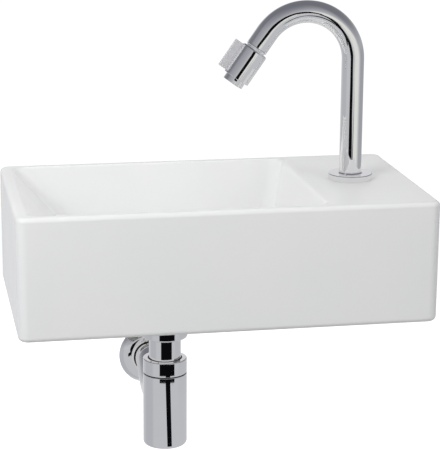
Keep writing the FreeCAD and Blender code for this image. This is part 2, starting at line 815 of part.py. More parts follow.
# Wall rosette: a thin dished plate that slides on the outlet tube, gripped to it by a rubber ring
def make_rosette():
    place = {"x": drain_x, "z": outlet_z, "axis": (1, 0, 0), "angle": as_size(90)}
    rim = size.rosette_radius
    flat = size.rosette_flat_radius
    deep = size.rosette_depth
    thin = size.rosette_sheet
    bore = size.pipe_radius + size.pipe_fit
    fall = deep - size.rosette_rim
    reach = rim - flat
    # The dome meets the flat part level, so its radius follows from its reach and its fall
    dome = (reach * reach + fall * fall) / (fall * 2)
    turned("wall_rosette", [
        (rim - thin, zero), (rim, zero), (rim, size.rosette_rim, dome, 1), (flat, deep), (bore, deep),
        (bore, deep - thin), (flat, deep - thin, dome - thin, -1), (rim - thin, size.rosette_rim)], **place)
    grip = size.pipe_radius + size.press_gap
    ring_top = deep - thin
    ring_base = ring_top - size.rosette_ring_height
    turned("rosette_ring", [
        (grip, ring_base), (size.rosette_ring_radius, ring_base), (size.rosette_ring_radius, ring_top),
        (grip, ring_top)], **place)


make_rosette()


# Tap base: heights are from the deck, on the tap's axis
def make_tap_base():
    place = {"x": tap_x, "y": middle_y, "z": rim_z}
    tube = size.spout_radius + size.spout_fit
    thread = size.shank_radius + size.thread_gap
    rim = size.tap_flange_radius
    top = size.tap_flange_height
    edge = size.tap_flange_edge
    hub = size.tap_hub_radius
    hub_base = -size.tap_hub_height
    seal = size.tap_seal_height
    seal_bore = size.tap_seal_bore
    seal_rim = size.tap_seal_radius
    turned("tap_flange", [
        (rim, zero), (rim, top - edge, edge, 1), (rim - edge, top), (tube, top), (tube, size.tap_ledge),
        (thread, size.tap_ledge), (thread, hub_base), (hub, hub_base), (hub, zero), (seal_bore, zero),
        (seal_bore, seal), (seal_rim, seal), (seal_rim, zero)], **place)
    turned("tap_flange_seal", [
        (seal_bore, zero), (seal_rim, zero), (seal_rim, seal), (seal_bore, seal)], **place)

    # The shank's thread stops at a relief groove, below which the supply screws on
    shank = size.shank_radius
    end = -size.shank_drop
    mouth = size.shank_mouth_edge
    relief = end + size.tail_length
    relief_top = relief + size.tail_relief_width
    relief_floor = shank - size.tail_relief_depth
    turned("tap_shank", [
        (size.shank_bore, end), (shank - mouth, end), (shank, end + mouth), (shank, relief),
        (relief_floor, relief), (relief_floor, relief_top), (shank, relief_top),
        (shank, size.tap_ledge), (size.shank_bore, size.tap_ledge)], **place)

    deck = -size.deck_wall
    rubber = deck - size.deck_washer_height
    rubber_rim = size.deck_washer_radius
    turned("tap_deck_washer", [
        (thread, rubber), (rubber_rim, rubber), (rubber_rim, deck), (thread, deck)], **place)
    steel = rubber - size.steel_washer_height
    steel_rim = size.steel_washer_radius
    turned("tap_steel_washer", [
        (thread, steel), (steel_rim, steel), (steel_rim, rubber), (thread, rubber)], **place)

    nut = new_body("tap_backnut", **place)
    collar = steel - size.backnut_collar_height
    across = size.backnut_across_flats / 2
    corner = across / cos(as_size(30))
    points = [(corner * cos(as_size(60 * i)), corner * sin(as_size(60 * i))) for i in range(6)]
    hexagon = [(x, y if i % 3 else zero) for i, (x, y) in enumerate(points)]
    nut_base = steel - size.backnut_height
    pad(nut, "hexagon", "XY_Plane", hexagon, collar - nut_base, lift=nut_base)
    collar_rim = size.backnut_collar_radius
    turn(nut, "nut_collar", [(zero, collar), (collar_rim, collar), (collar_rim, steel), (zero, steel)])
    sketch = new_sketch(nut, "nut_thread_sketch", "XY_Plane", lift=steel + size.overrun)
    draw_circle(sketch, zero, zero, thread)
    cut_out(nut, "nut_thread", sketch, size.backnut_height + size.overrun * 2)


make_tap_base()


# Spout: one bent tube, from the ledge inside the flange over the arch to the valve
arch_x = size.spout_arch_radius * (cos(size.spout_turn) - as_size(1))
arch_z = size.spout_arch_height + size.spout_arch_radius * sin(size.spout_turn)


def make_spout():
    start = size.tap_ledge
    end_x = arch_x - size.spout_straight * sin(size.spout_turn)
    end_z = arch_z + size.spout_straight * cos(size.spout_turn)
    # An arch of more than a half circle is never drawn: the turn stays under 180 degrees
    route = [
        (zero, zero), (zero, size.spout_arch_height - start, size.spout_arch_radius, 1),
        (arch_x, arch_z - start), (end_x, end_z - start)]
    bent_tube("spout_tube", route, size.spout_radius, size.spout_wall, x=tap_x, y=middle_y,
              z=rim_z + start)


make_spout()

# Valve and turning sleeve: the frame starts where the arch ends and its Z goes down the mouth's
# axis, its X away from the arch and its Y to the wall
mouth_place = {
    "x": tap_x + arch_x, "y": middle_y, "z": rim_z + arch_z, "axis": (0, -1, 0), "angle": size.spout_turn}


def cut_windows(body, name, base, height, turned_by):
    """Two opposite quarter windows, less their edges, through a valve disc."""
    outer = size.disc_window_radius
    hub = size.disc_window_hub
    for side in (0, 180):
        first = as_size(side + turned_by) - size.disc_window_angle / 2
        last = as_size(side + turned_by) + size.disc_window_angle / 2
        window = [
            (hub * cos(first), hub * sin(first)),
            (outer * cos(first), outer * sin(first), outer, 1),
            (outer * cos(last), outer * sin(last)),
            (hub * cos(last), hub * sin(last), hub, -1)]
        sketch = new_sketch(body, f"{name}_{side}_sketch", "XY_Plane", lift=base + height + size.overrun)
        draw(sketch, window)
        cut_out(body, f"{name}_{side}", sketch, height + size.overrun * 2)


def cut_keys(body, name, base, height):
    """Two notches across the disc's rim, which the keys of its neighbour fill."""
    half = size.disc_key_width / 2
    deep = size.disc_radius - size.disc_key_depth
    past = size.disc_radius + size.overrun
    top = base + height + size.overrun
    for side in (-1, 1):
        sketch = new_sketch(body, f"{name}_{side + 1}_sketch", "XY_Plane", lift=top)
        draw(sketch, [(deep * side, -half), (past * side, -half), (past * side, half), (deep * side, half)])
        cut_out(body, f"{name}_{side + 1}", sketch, height + size.overrun * 2)


def add_keys(body, name, base, height, inner, outer):
    half = size.disc_key_width / 2 - size.press_gap
    for side in (-1, 1):
        key = [(inner * side, -half), (outer * side, -half), (outer * side, half), (inner * side, half)]
        pad(body, f"{name}_{side + 1}", "XY_Plane", key, height, lift=base)


def make_valve():
    core = size.core_radius
    cup = size.disc_radius + size.press_gap
    cup_floor = size.core_end - size.core_cup_depth
    o_ring = size.o_ring_start
    o_ring_end = o_ring + size.o_ring_section + size.groove_play * 2
    o_ring_floor = core + size.running_gap - size.o_ring_section - size.press_gap
    snap = size.snap_ring_start - size.snap_ring_play
    snap_end = size.snap_ring_start + size.snap_ring_height + size.snap_ring_play
    snap_floor = size.snap_ring_bore - size.snap_ring_play
    spigot = size.spout_radius - size.spout_wall - size.spout_fit
    start = size.core_spigot_start
    body = turned("valve_core", [
        (size.core_bore, start), (spigot, start), (spigot, size.spout_straight),
        (size.neck_ring_radius, size.spout_straight), (size.neck_ring_radius, size.neck_ring_end),
        (core, size.neck_ring_end), (core, o_ring), (o_ring_floor, o_ring), (o_ring_floor, o_ring_end),
        (core, o_ring_end), (core, snap), (snap_floor, snap), (snap_floor, snap_end), (core, snap_end),
        (core, size.core_end), (cup, size.core_end), (cup, cup_floor), (size.core_bore, cup_floor)],
        **mouth_place)
    seal_end = cup_floor + size.disc_seal_height
    inner = size.disc_radius - size.disc_key_depth + size.press_gap
    add_keys(body, "core_key", seal_end, size.core_end - seal_end, inner, core - size.press_gap)

    # The rubber ring is a true torus that fills its groove's depth
    ring = new_body("core_o_ring", **mouth_place)
    section = new_sketch(ring, "core_o_ring_sketch", "XZ_Plane")
    half = size.o_ring_section / 2
    draw_circle(section, o_ring_floor + size.press_gap / 2 + half, o_ring + size.groove_play + half, half)
    torus = ring.newObject("PartDesign::Revolution", "core_o_ring_turning")
    torus.Profile = section
    torus.ReferenceAxis = (section, ["V_Axis"])
    torus.Angle = 360.0

    ring_base = size.snap_ring_start
    ring_top = ring_base + size.snap_ring_height
    snap_ring = turned("snap_ring", [
        (size.snap_ring_bore, ring_base), (size.snap_ring_radius, ring_base),
        (size.snap_ring_radius, ring_top), (size.snap_ring_bore, ring_top)], **mouth_place)
    sketch = new_sketch(snap_ring, "snap_split_sketch", "XY_Plane", lift=snap_end)
    half = size.snap_ring_split / 2
    reach = size.snap_ring_radius + size.overrun
    draw(sketch, [(-reach, -half), (zero, -half), (zero, half), (-reach, half)])
    cut_out(snap_ring, "snap_split", sketch, size.snap_ring_height + size.overrun)

    seal_rim = inner - size.press_gap * 2
    turned("disc_seal", [
        (size.disc_seal_bore, cup_floor), (seal_rim, cup_floor), (seal_rim, seal_end),
        (size.disc_seal_bore, seal_end)], **mouth_place)
    fixed_end = seal_end + size.disc_height
    turning = fixed_end + size.disc_gap
    for label, base, angle in (("valve_fixed_disc", seal_end, 0), ("valve_turning_disc", turning, 90)):
        disc = turned(label, [
            (zero, base), (size.disc_radius, base), (size.disc_radius, base + size.disc_height),
            (zero, base + size.disc_height)], **mouth_place)
        cut_windows(disc, label + "_window", base, size.disc_height, angle)
        cut_keys(disc, label + "_notch", base, size.disc_height)

    # The carrier is pressed into the sleeve and turns the lower disc by two keys
    carrier_base = turning + size.disc_height
    carrier_end = carrier_base + size.carrier_height
    carrier_radius = size.sleeve_bore - size.press_gap
    carrier = turned("valve_carrier", [
        (size.carrier_bore, carrier_base), (carrier_radius, carrier_base), (carrier_radius, carrier_end),
        (size.carrier_bore, carrier_end)], **mouth_place)
    add_keys(carrier, "carrier_key", carrier_base - size.carrier_key_height,
             size.carrier_key_height + size.carrier_height / 2, inner, size.disc_radius - size.press_gap)
    return carrier_end


def make_sleeve(carrier_end):
    start = size.sleeve_start
    end = start + size.sleeve_length
    outer = size.sleeve_radius
    edge = size.sleeve_edge
    snug = size.core_radius + size.running_gap
    snap = size.snap_ring_start - size.snap_ring_play
    snap_wall = size.snap_ring_radius + size.snap_ring_play
    snap_end = size.snap_ring_start + size.snap_ring_height + size.snap_ring_play
    body = turned("turning_sleeve", [
        (snug, start), (outer - edge, start), (outer, start + edge), (outer, end - edge / 2),
        (outer - edge / 2, end), (size.sleeve_bore, end), (size.sleeve_bore, snap_end), (snap_wall, snap_end),
        (snap_wall, snap), (snug, snap)], **mouth_place)

    # The lever is a flat blade let into a slot along the sleeve
    middle = start + size.sleeve_length / 2
    half_length = size.blade_length / 2
    half = size.blade_thickness / 2
    blade_start = middle - half_length
    blade_end = middle + half_length
    slot = new_sketch(body, "blade_slot_sketch", "XZ_Plane")
    past = outer + size.overrun
    draw(slot, [(size.blade_seat, blade_start), (past, blade_start), (past, blade_end),
                (size.blade_seat, blade_end)])
    cut_out(body, "blade_slot", slot, size.blade_thickness, both_ways=True)
    blade = new_body("lever_blade", **mouth_place)
    outline = [(size.blade_seat, blade_start), (size.blade_reach, blade_start), (size.blade_reach, blade_end),
               (size.blade_seat, blade_end)]
    pad(blade, "blade", "XZ_Plane", outline, half * 2, both_ways=True)
    tip = size.blade_reach.value

    def at_tip(edge):
        return all(near(v.Point.x, tip) for v in edge.Vertexes)

    round_off(blade, "blade_edges", size.blade_edge, at_tip)

    # Below the carrier sits the aerator: a washer, a housing screwed into the sleeve and its insert
    washer_end = carrier_end + size.aerator_washer_height
    thread = size.sleeve_bore - size.thread_gap
    turned("aerator_washer", [
        (size.aerator_washer_bore, carrier_end), (thread, carrier_end), (thread, washer_end),
        (size.aerator_washer_bore, washer_end)], **mouth_place)
    tip = end + size.aerator_show
    bore = size.aerator_bore
    mouth = size.aerator_mouth
    rim = size.aerator_radius
    edge = size.aerator_edge
    turned("aerator_housing", [
        (bore, washer_end), (thread, washer_end), (thread, end), (rim, end), (rim, tip - edge),
        (rim - edge, tip), (mouth, tip), (mouth, tip - size.aerator_lip), (bore, tip - size.aerator_lip)],
        **mouth_place)
    insert_end = tip - size.aerator_lip
    insert_start = insert_end - size.insert_height
    insert_radius = bore - size.insert_gap / 2
    insert = turned("aerator_insert", [
        (zero, insert_start), (insert_radius, insert_start), (insert_radius, insert_end), (zero, insert_end)],
        **mouth_place)
    pitch = size.insert_cell + size.insert_cell_wall
    cells = new_sketch(insert, "cells_sketch", "XY_Plane", lift=insert_end + size.overrun)
    for row in range(-CELL_RINGS, CELL_RINGS + 1):
        for column in range(-CELL_RINGS, CELL_RINGS + 1):
            if abs(row + column) <= CELL_RINGS:
                across = pitch * (column + row / 2)
                along = pitch * row * sin(as_size(60))
                draw_circle(cells, across, along, size.insert_cell / 2)
    cut_out(insert, "cells", cells, size.insert_height + size.overrun * 2)


make_sleeve(make_valve())


# Check the document, then write each piece
def check(item):
    if "Invalid" in item.State or "Error" in item.State:
        raise RuntimeError(f"{item.Label} is {item.State}")


doc.recompute()
for item in doc.Objects:
    check(item)
for piece in pieces:
    if piece.Shape.isNull() or not piece.Shape.isValid():
        raise RuntimeError(f"{piece.Label} has no valid shape")
os.makedirs("parts", exist_ok=True)
for piece in pieces:
    shape = piece.Shape
    shape.exportStep(f"parts/{piece.Label}.step")
    print(f"{piece.Label:20s} solids {len(shape.Solids)} volume {shape.Volume:12.1f}")
print(len(pieces), "pieces")
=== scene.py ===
import math

import bmesh
import bpy
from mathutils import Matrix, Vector


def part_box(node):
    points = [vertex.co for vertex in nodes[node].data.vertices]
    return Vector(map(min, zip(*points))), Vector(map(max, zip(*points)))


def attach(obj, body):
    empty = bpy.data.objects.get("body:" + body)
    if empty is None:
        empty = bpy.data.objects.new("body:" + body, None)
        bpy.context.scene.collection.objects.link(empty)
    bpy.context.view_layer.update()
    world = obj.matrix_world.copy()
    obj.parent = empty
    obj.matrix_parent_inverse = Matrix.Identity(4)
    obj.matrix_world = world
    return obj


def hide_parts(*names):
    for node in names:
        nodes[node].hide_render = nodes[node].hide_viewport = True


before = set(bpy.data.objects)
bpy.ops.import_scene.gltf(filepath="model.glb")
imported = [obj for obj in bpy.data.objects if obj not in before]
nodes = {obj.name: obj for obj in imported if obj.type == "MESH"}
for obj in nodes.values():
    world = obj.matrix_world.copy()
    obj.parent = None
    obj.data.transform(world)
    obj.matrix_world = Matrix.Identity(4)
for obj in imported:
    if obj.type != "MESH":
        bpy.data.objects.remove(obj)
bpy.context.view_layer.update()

mm = 0.001


# The view: the camera stands in front of the basin, a little to the left, and looks down at it from
# above the tap through a long lens. Its picture is shown plainly, with no film look.
eye = Vector((-0.30157, -1.72726, 0.45779))
looking = Vector((0.18245, 0.95079, -0.25043))
camera_roll = math.radians(0.366)
lens = 137.6

camera_data = bpy.data.cameras.new("camera")
camera_data.lens = lens
camera_data.sensor_width = 36
camera_data.clip_end = 30
camera = bpy.data.objects.new("camera", camera_data)
bpy.context.scene.collection.objects.link(camera)
camera.location = eye
camera.rotation_euler = looking.to_track_quat("-Z", "Y").to_euler()
camera.rotation_euler.rotate_axis("Z", camera_roll)
bpy.context.scene.camera = camera
bpy.context.scene.view_settings.view_transform = "Standard"


# The room's own light: white where the camera sees it, and an even pale grey on the glaze. For the
# chrome it is a grey studio: pale below, darker overhead and to the sides, with one bright panel in
# front on the right. What metal shows in other metal is one even pale grey.
class Value:
    """A number that flows through a material's nodes. Python's own signs add the nodes."""

    def __init__(self, tree, socket):
        self.tree = tree
        self.socket = socket

    def maths(self, operation, *others, first=None):
        """A Math node on this value and the others, or with first in its place."""
        node = self.tree.nodes.new("ShaderNodeMath")
        node.operation = operation
        values = [self, *others] if first is None else [first, self]
        for place, value in zip(node.inputs, values):
            if isinstance(value, Value):
                self.tree.links.new(value.socket, place)
            else:
                place.default_value = value
        return Value(self.tree, node.outputs[0])

    def __add__(self, other):
        return self.maths("ADD", other)

    def __radd__(self, other):
        return self.maths("ADD", first=other)

    def __sub__(self, other):
        return self.maths("SUBTRACT", other)

    def __rsub__(self, other):
        return self.maths("SUBTRACT", first=other)

    def __mul__(self, other):
        return self.maths("MULTIPLY", other)

    def __rmul__(self, other):
        return self.maths("MULTIPLY", first=other)

    def __truediv__(self, other):
        return self.maths("DIVIDE", other)

    def between(self, low, high):
        """0 below low and 1 above high, with a soft step from one to the other."""
        node = self.tree.nodes.new("ShaderNodeMapRange")
        node.interpolation_type = "SMOOTHSTEP"
        self.tree.links.new(self.socket, node.inputs["Value"])
        node.inputs["From Min"].default_value = low
        node.inputs["From Max"].default_value = high
        return Value(self.tree, node.outputs["Result"])


class Shading:
    """The node tree of one finish, or of the room."""

    def __init__(self, tree):
        self.tree = tree
        tree.nodes.clear()

    def add(self, kind, settings=None, **values):
        """A node of a kind: its settings first, then the values or links of its sockets."""
        node = self.tree.nodes.new(kind)
        for name, setting in (settings or {}).items():
            if name == "stops":
                while len(node.color_ramp.elements) < len(setting):
                    node.color_ramp.elements.new(1)
                for element, (place, colour) in zip(node.color_ramp.elements, setting):
                    element.position = place
                    element.color = (*colour, 1)
            else:
                setattr(node, name, setting)
        for name, value in values.items():
            title = name.replace("_", " ")
            socket = next(s for s in node.inputs if s.enabled and s.name.lower() == title.lower())
            if isinstance(value, Value):
                self.tree.links.new(value.socket, socket)
            elif isinstance(value, bpy.types.NodeSocket):
                self.tree.links.new(value, socket)
            elif socket.type == "RGBA" and len(value) == 3:
                socket.default_value = (*value, 1)
            else:
                socket.default_value = value
        return node

    def value(self, node, output):
        return Value(self.tree, node.outputs[output])

    def noise(self, place, scale, detail=2.0):
        """Soft random clouds."""
        clouds = self.add("ShaderNodeTexNoise", vector=place, scale=scale, detail=detail)
        return self.value(clouds, 0)

    def streaks(self, place, scale, detail=2.0, turn=(0, 0, 0)):
        """Noise drawn out along the axis whose scale is the smallest."""
        stretched = self.add("ShaderNodeMapping", vector=place, rotation=turn, scale=scale)
        return self.noise(stretched.outputs[0], 1.0, detail)

    def blend(self, share, first, second):
        """A colour between two others."""
        mix = self.add("ShaderNodeMix", {"data_type": "RGBA"}, factor=share, a=first, b=second)
        return mix.outputs[2]

    def split(self, vector):
        node = self.add("ShaderNodeSeparateXYZ", vector=vector)
        return [Value(self.tree, socket) for socket in node.outputs]

    def piece_place(self):
        """The place on the piece itself, which its patterns follow."""
        return self.add("ShaderNodeTexCoord").outputs["Object"]

    def show(self, node):
        """Make a node's surface the one that the material shows."""
        self.add("ShaderNodeOutputMaterial", surface=node.outputs[0])


room_light = 0.42
room_low_grey = (0.61, 0.62, 0.64)
room_left_grey = (0.53, 0.54, 0.57)
room_right_grey = (0.41, 0.415, 0.44)
room_panel_grey = (0.86, 0.86, 0.82)
room_back_grey = (0.76, 0.76, 0.78)
room_twice_grey = (0.78, 0.78, 0.79)
room_sky = ((0.0, (0.68, 0.68, 0.69)), (0.17, (0.60, 0.605, 0.62)), (0.26, (0.50, 0.505, 0.53)),
            (0.42, (0.43, 0.435, 0.47)), (0.57, (0.36, 0.365, 0.40)), (0.71, (0.30, 0.305, 0.34)),
            (0.87, (0.24, 0.245, 0.28)), (1.0, (0.19, 0.195, 0.22)))
room_side_sky = ((0.0, (0.50, 0.505, 0.53)), (0.26, (0.37, 0.375, 0.40)), (0.42, (0.26, 0.265, 0.29)),
                 (0.62, (0.21, 0.215, 0.24)), (1.0, (0.19, 0.195, 0.22)))

world = bpy.data.worlds.new("room")
bpy.context.scene.world = world
world.use_nodes = True
room = Shading(world.node_tree)
towards = room.add("ShaderNodeTexCoord").outputs["Generated"]
east, north, up = room.split(towards)
flat = (east * east + north * north).maths("SQRT").maths("MAXIMUM", 0.0001)
front = 0 - north / flat
rightward = east / flat
on_right = (1 - front.between(0.2, 0.55)) * rightward.between(0.3, 0.6) * up.between(-0.38, -0.18)
on_left = (1 - front.between(0.1, 0.4)) * (1 - rightward.between(-0.85, -0.6))
low = room.blend(on_left, room_low_grey, room_left_grey)
low = room.blend(on_right, low, room_right_grey)
sky = room.add("ShaderNodeValToRGB", {"stops": room_sky}, fac=up).outputs[0]
side_sky = room.add("ShaderNodeValToRGB", {"stops": room_side_sky}, fac=up).outputs[0]
sky = room.blend((front * 0.94 - rightward * 0.34).between(0.2, 0.7), side_sky, sky)
seen_in_gloss = room.blend(up.between(-0.05, 0.1), low, sky)
panel = (rightward.between(0.02, 0.14) * front.between(0.45, 0.75) * up.between(-0.32, -0.22)
         * (1 - up.between(0.08, 0.2)))
seen_in_gloss = room.blend(panel, seen_in_gloss, room_panel_grey)
straight_behind = (1 - front.between(-0.96, -0.92)) * (1 - up.between(0.3, 0.45))
seen_in_gloss = room.blend(straight_behind, seen_in_gloss, room_back_grey)
path = room.add("ShaderNodeLightPath")
is_camera = room.value(path, "Is Camera Ray")
is_gloss = room.value(path, "Is Glossy Ray")
twice = room.value(path, "Glossy Depth").between(1.2, 1.8)
light = room.blend(is_gloss, (room_light,) * 3, room.blend(twice, seen_in_gloss, room_twice_grey))
light = room.blend(is_camera, light, (1.0, 1.0, 1.0))
background = room.add("ShaderNodeBackground", color=light, strength=1.0)
room.add("ShaderNodeOutputWorld", surface=background.outputs[0])


def add_lamp(name, place, aim, width, power, colour=(1, 1, 1)):
    """A wide soft lamp that the chrome doesn't show."""
    data = bpy.data.lights.new(name, "AREA")
    data.shape = "RECTANGLE"
    data.size = width
    data.size_y = width
    data.energy = power
    data.color = colour
    lamp = bpy.data.objects.new(name, data)
    bpy.context.scene.collection.objects.link(lamp)
    lamp.location = place
    lamp.rotation_euler = (Vector(aim) - Vector(place)).to_track_quat("-Z", "Y").to_euler()
    lamp.visible_glossy = False
    return lamp


add_lamp("near_lamp", (-0.75, -0.85, 0.75), (0, -0.1, 0), 0.5, 5.4)
add_lamp("left_lamp", (-1.8, -1.8, 1.2), (0, -0.1, 0.03), 1.3, 6.4)
add_lamp("right_lamp", (1.6, -2.0, 0.9), (0, -0.1, 0), 1.3, 13.0)
add_lamp("side_lamp", (-2.2, -0.6, 0.1), (0, -0.1, 0), 1.0, 6.0, (0.92, 0.95, 1.0))
add_lamp("top_lamp", (0, -0.1, 1.6), (0, -0.1, 0.03), 1.0, 3.5)
add_lamp("back_lamp", (0.3, 2.2, 0.35), (0, 0, 0), 1.2, 12)
bowl_lamp = add_lamp("bowl_lamp", (-0.06, -0.45, 1.1), (-0.06, -0.10, 0.02), 0.22, 0.025)
bowl_lamp.data.spread = 0.6


# The floor of the room: a wide pale sheet far below the basin, white to the camera but for the
# soft shadow on it.
floor_height = -0.75
floor_width = 24.0
floor_grey = 0.5
floor_glow = 0.82


def start_finish(name):
    """A new material and its empty node tree."""
    material = bpy.data.materials.new(name)
    material.use_nodes = True
    return material, Shading(material.node_tree)


bpy.ops.object.select_all(action="DESELECT")
bpy.ops.mesh.primitive_plane_add(size=floor_width, location=(0, 0, floor_height))
floor = bpy.context.object
floor.name = "room_floor"
bpy.ops.object.transform_apply(location=True, rotation=True, scale=True)
floor_finish, shading = start_finish("floor_white")
matt = shading.add("ShaderNodeBsdfDiffuse", color=(floor_grey,) * 3)
path = shading.add("ShaderNodeLightPath")
seen = shading.value(path, "Is Camera Ray")
glow = shading.add("ShaderNodeEmission", color=(1, 1, 1), strength=seen * floor_glow)
both = shading.add("ShaderNodeAddShader")
shading.tree.links.new(matt.outputs[0], both.inputs[0])
shading.tree.links.new(glow.outputs[0], both.inputs[1])
shading.show(both)
floor.data.materials.append(floor_finish)
floor.visible_glossy = False


# Studio backdrop: black cloth hung one metre in front of the basin, out of the camera's sight. It
# is cut to a pattern, and only polished metal shows it, as the black lines on the tap and the trap.
backdrop_distance = 1000
trap_x, trap_y = -47, -112.5
arc_steps = 14
cloth_black = (0.004, 0.004, 0.005)
clear_below = 0.95


def cloth_finish():
    """Black to a first reflection from a metre away, and clear to nearer and later ones."""
    material, shading = start_finish("black_cloth")
    dark = shading.add("ShaderNodeEmission", color=cloth_black, strength=1.0)
    clear = shading.add("ShaderNodeBsdfTransparent")
    path = shading.add("ShaderNodeLightPath")
    close = 1 - shading.value(path, "Ray Length").between(clear_below, clear_below + 0.001)
    later = shading.value(path, "Glossy Depth").between(1.0, 1.9)
    either = shading.add("ShaderNodeMixShader", fac=close.maths("MAXIMUM", later))
    shading.tree.links.new(dark.outputs[0], either.inputs[1])
    shading.tree.links.new(clear.outputs[0], either.inputs[2])
    shading.show(either)
    return material


def select_alone(piece):
    bpy.ops.object.select_all(action="DESELECT")
    piece.select_set(True)
    bpy.context.view_layer.objects.active = piece


def open_piece(piece):
    """Select one piece alone and open it for editing."""
    select_alone(piece)
    bpy.ops.object.mode_set(mode="EDIT")


def close_piece():
    bpy.ops.object.mode_set(mode="OBJECT")


def pick(piece, kind, wanted):
    """Select the corners, edges or faces of the open piece that wanted says yes to."""
    bpy.ops.mesh.select_mode(type=kind)
    bpy.ops.mesh.select_all(action="DESELECT")
    mesh = bmesh.from_edit_mesh(piece.data)
    for part in {"VERT": mesh.verts, "EDGE": mesh.edges, "FACE": mesh.faces}[kind]:
        if wanted(part):
            part.select_set(True)
    mesh.select_flush_mode()
    bmesh.update_edit_mesh(piece.data)


def is_at(corner, place):
    return (corner.co - Vector(place) * mm).length < 1e-6


def add_cloth(name, rows):
    """Hang a strip of the cloth: each row gives its two edges, as x, y, z in millimetres."""
    bpy.ops.object.select_all(action="DESELECT")
    bpy.ops.mesh.primitive_plane_add(size=1)
    cloth = bpy.context.object
    cloth.name = name
    for corner, place in zip(cloth.data.vertices, (*rows[0], *rows[1])):
        corner.co = Vector(place) * mm
    open_piece(cloth)
    for last, row in zip(rows[1:], rows[2:]):
        pick(cloth, "VERT", lambda corner: is_at(corner, last[0]) or is_at(corner, last[1]))
        bpy.ops.mesh.extrude_edges_move()
        mesh = bmesh.from_edit_mesh(cloth.data)
        for corner in mesh.verts:
            if corner.select:
                corner.co = Vector(row[0] if is_at(corner, last[0]) else row[1]) * mm
        bmesh.update_edit_mesh(cloth.data)
    close_piece()
    cloth.data.materials.append(black_cloth)
    cloth.visible_camera = False
    cloth.visible_diffuse = False
    cloth.visible_shadow = False
    cloth.visible_transmission = False


def add_curved_cloth(name, lower, upper):
    """Hang the cloth on an arc round the trap. An edge has its two end angles and its height."""
    rows = []
    for step in range(arc_steps + 1):
        row = []
        for start, end, height in (lower, upper):
            angle = math.radians(start + (end - start) * step / arc_steps)
            row.append((trap_x + backdrop_distance * math.sin(angle),
                        trap_y - backdrop_distance * math.cos(angle), height))
        rows.append(row)
    add_cloth(name, rows)


black_cloth = cloth_finish()
backdrop_y = trap_y - backdrop_distance
tap_pattern = [((x0, backdrop_y, z0), (x1, backdrop_y, z1)) for x0, z0, x1, z1 in (
    (-387, -173, 111, -143), (-332, -136, 107, -113), (-354, -104, 65, -81), (-403, -75, 2, -51),
    (-489, -33, -15, -3), (-547, -12, -56, 20), (-612, 12, -74, 54), (-587, -34, -143, 14),
    (-606, -91, -134, -10), (-587, -217, -119, -69), (-485, -326, -100, -135),
    (-295, -390, 15, -161),
    (-33, -392, 180, -130), (166, -319, 322, 7), (310, -99, 370, 166), (337, 60, 333, 327),
    (296, 170, 227, 427), (242, 189, 76, 479), (245, 121, -94, 462), (222, 111, -172, 387),
    (55, 199, -274, 430), (118, 139, -214, 371), (93, 102, -249, 340), (227, -6, -303, 364))]
add_cloth("backdrop_for_tap", tap_pattern)
add_curved_cloth("backdrop_for_nuts", (-36.6, 41.8, -473), (-36.6, 41.8, -350))
add_curved_cloth("backdrop_for_bottle", (4.8, 28.3, -600), (-5.7, 18.8, -473))


# Ceramic body: slip-cast sanitary ware under one thick white glaze, which rounds every edge. The
# bowl, the tap deck and the skirt are one casting, hollow below, with a flat back for the wall.
basin_low, basin_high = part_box("basin")
rim_z = basin_high.z
base_z = basin_low.z
back_y = basin_high.y
drain_low, drain_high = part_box("waste_grid")
drain_x = (drain_low.x + drain_high.x) / 2
drain_y = (drain_low.y + drain_high.y) / 2
flange_low, flange_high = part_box("tap_flange")
tap_x = (flange_low.x + flange_high.x) / 2
tap_y = (flange_low.y + flange_high.y) / 2
upright_radius = 10 * mm
top_radius = 4.5 * mm
base_radius = 5 * mm
rim_left = 12 * mm
rim_long = 10 * mm
bowl_length = 279.5 * mm
bowl_depth = 80 * mm
bowl_mouth_radius = 4 * mm
bowl_corner_radius = 9 * mm
bowl_floor_radius = 20 * mm
ramp_angle = math.radians(41.5)
steep_angle = math.radians(11)
long_angle = math.radians(9)
skirt_wall = 10 * mm
back_wall = 14 * mm
bowl_wall = 12 * mm
deck_wall = 12 * mm


def is_near(first, second):
    return abs(first - second) < 1e-5


def pull_edges(shift):
    """Extrude the selected edges by a shift."""
    bpy.ops.mesh.extrude_edges_move(TRANSFORM_OT_translate={"value": shift})


def face_outwards():
    """Turn every face of the open piece outwards, and leave all of it selected."""
    bpy.ops.mesh.select_all(action="SELECT")
    bpy.ops.mesh.normals_make_consistent(inside=False)


def join_pieces(pieces):
    bpy.ops.object.select_all(action="DESELECT")
    for piece in pieces:
        piece.select_set(True)
    bpy.context.view_layer.objects.active = pieces[0]
    bpy.ops.object.join()
    return pieces[0]


def move_piece(piece, place, turn=(0, 0, 0)):
    """Turn a piece about the origin and move it, then make that its own shape."""
    select_alone(piece)
    piece.rotation_euler = turn
    piece.location = place
    bpy.ops.object.transform_apply(location=True, rotation=True, scale=True)


def add_rounded_plate(name, left, right, front_edge, back_edge, height, radius, segments):
    """A flat plate with four rounded corners, left open for editing and selected all over."""
    bpy.ops.object.select_all(action="DESELECT")
    middle = ((left + right) / 2, (front_edge + back_edge) / 2, height)
    bpy.ops.mesh.primitive_plane_add(size=1, location=middle)
    plate = bpy.context.object
    plate.name = name
    plate.scale = (right - left, back_edge - front_edge, 1)
    bpy.ops.object.transform_apply(location=True, rotation=True, scale=True)
    open_piece(plate)
    bpy.ops.mesh.select_all(action="SELECT")
    bpy.ops.mesh.bevel(affect="VERTICES", offset=radius, segments=segments)
    return plate


def apply_modifier(piece, kind, **settings):
    """Add a modifier to a piece and apply it at once."""
    select_alone(piece)
    modifier = piece.modifiers.new(kind.lower(), kind)
    for name, setting in settings.items():
        setattr(modifier, name, setting)
    bpy.ops.object.modifier_apply(modifier=modifier.name)


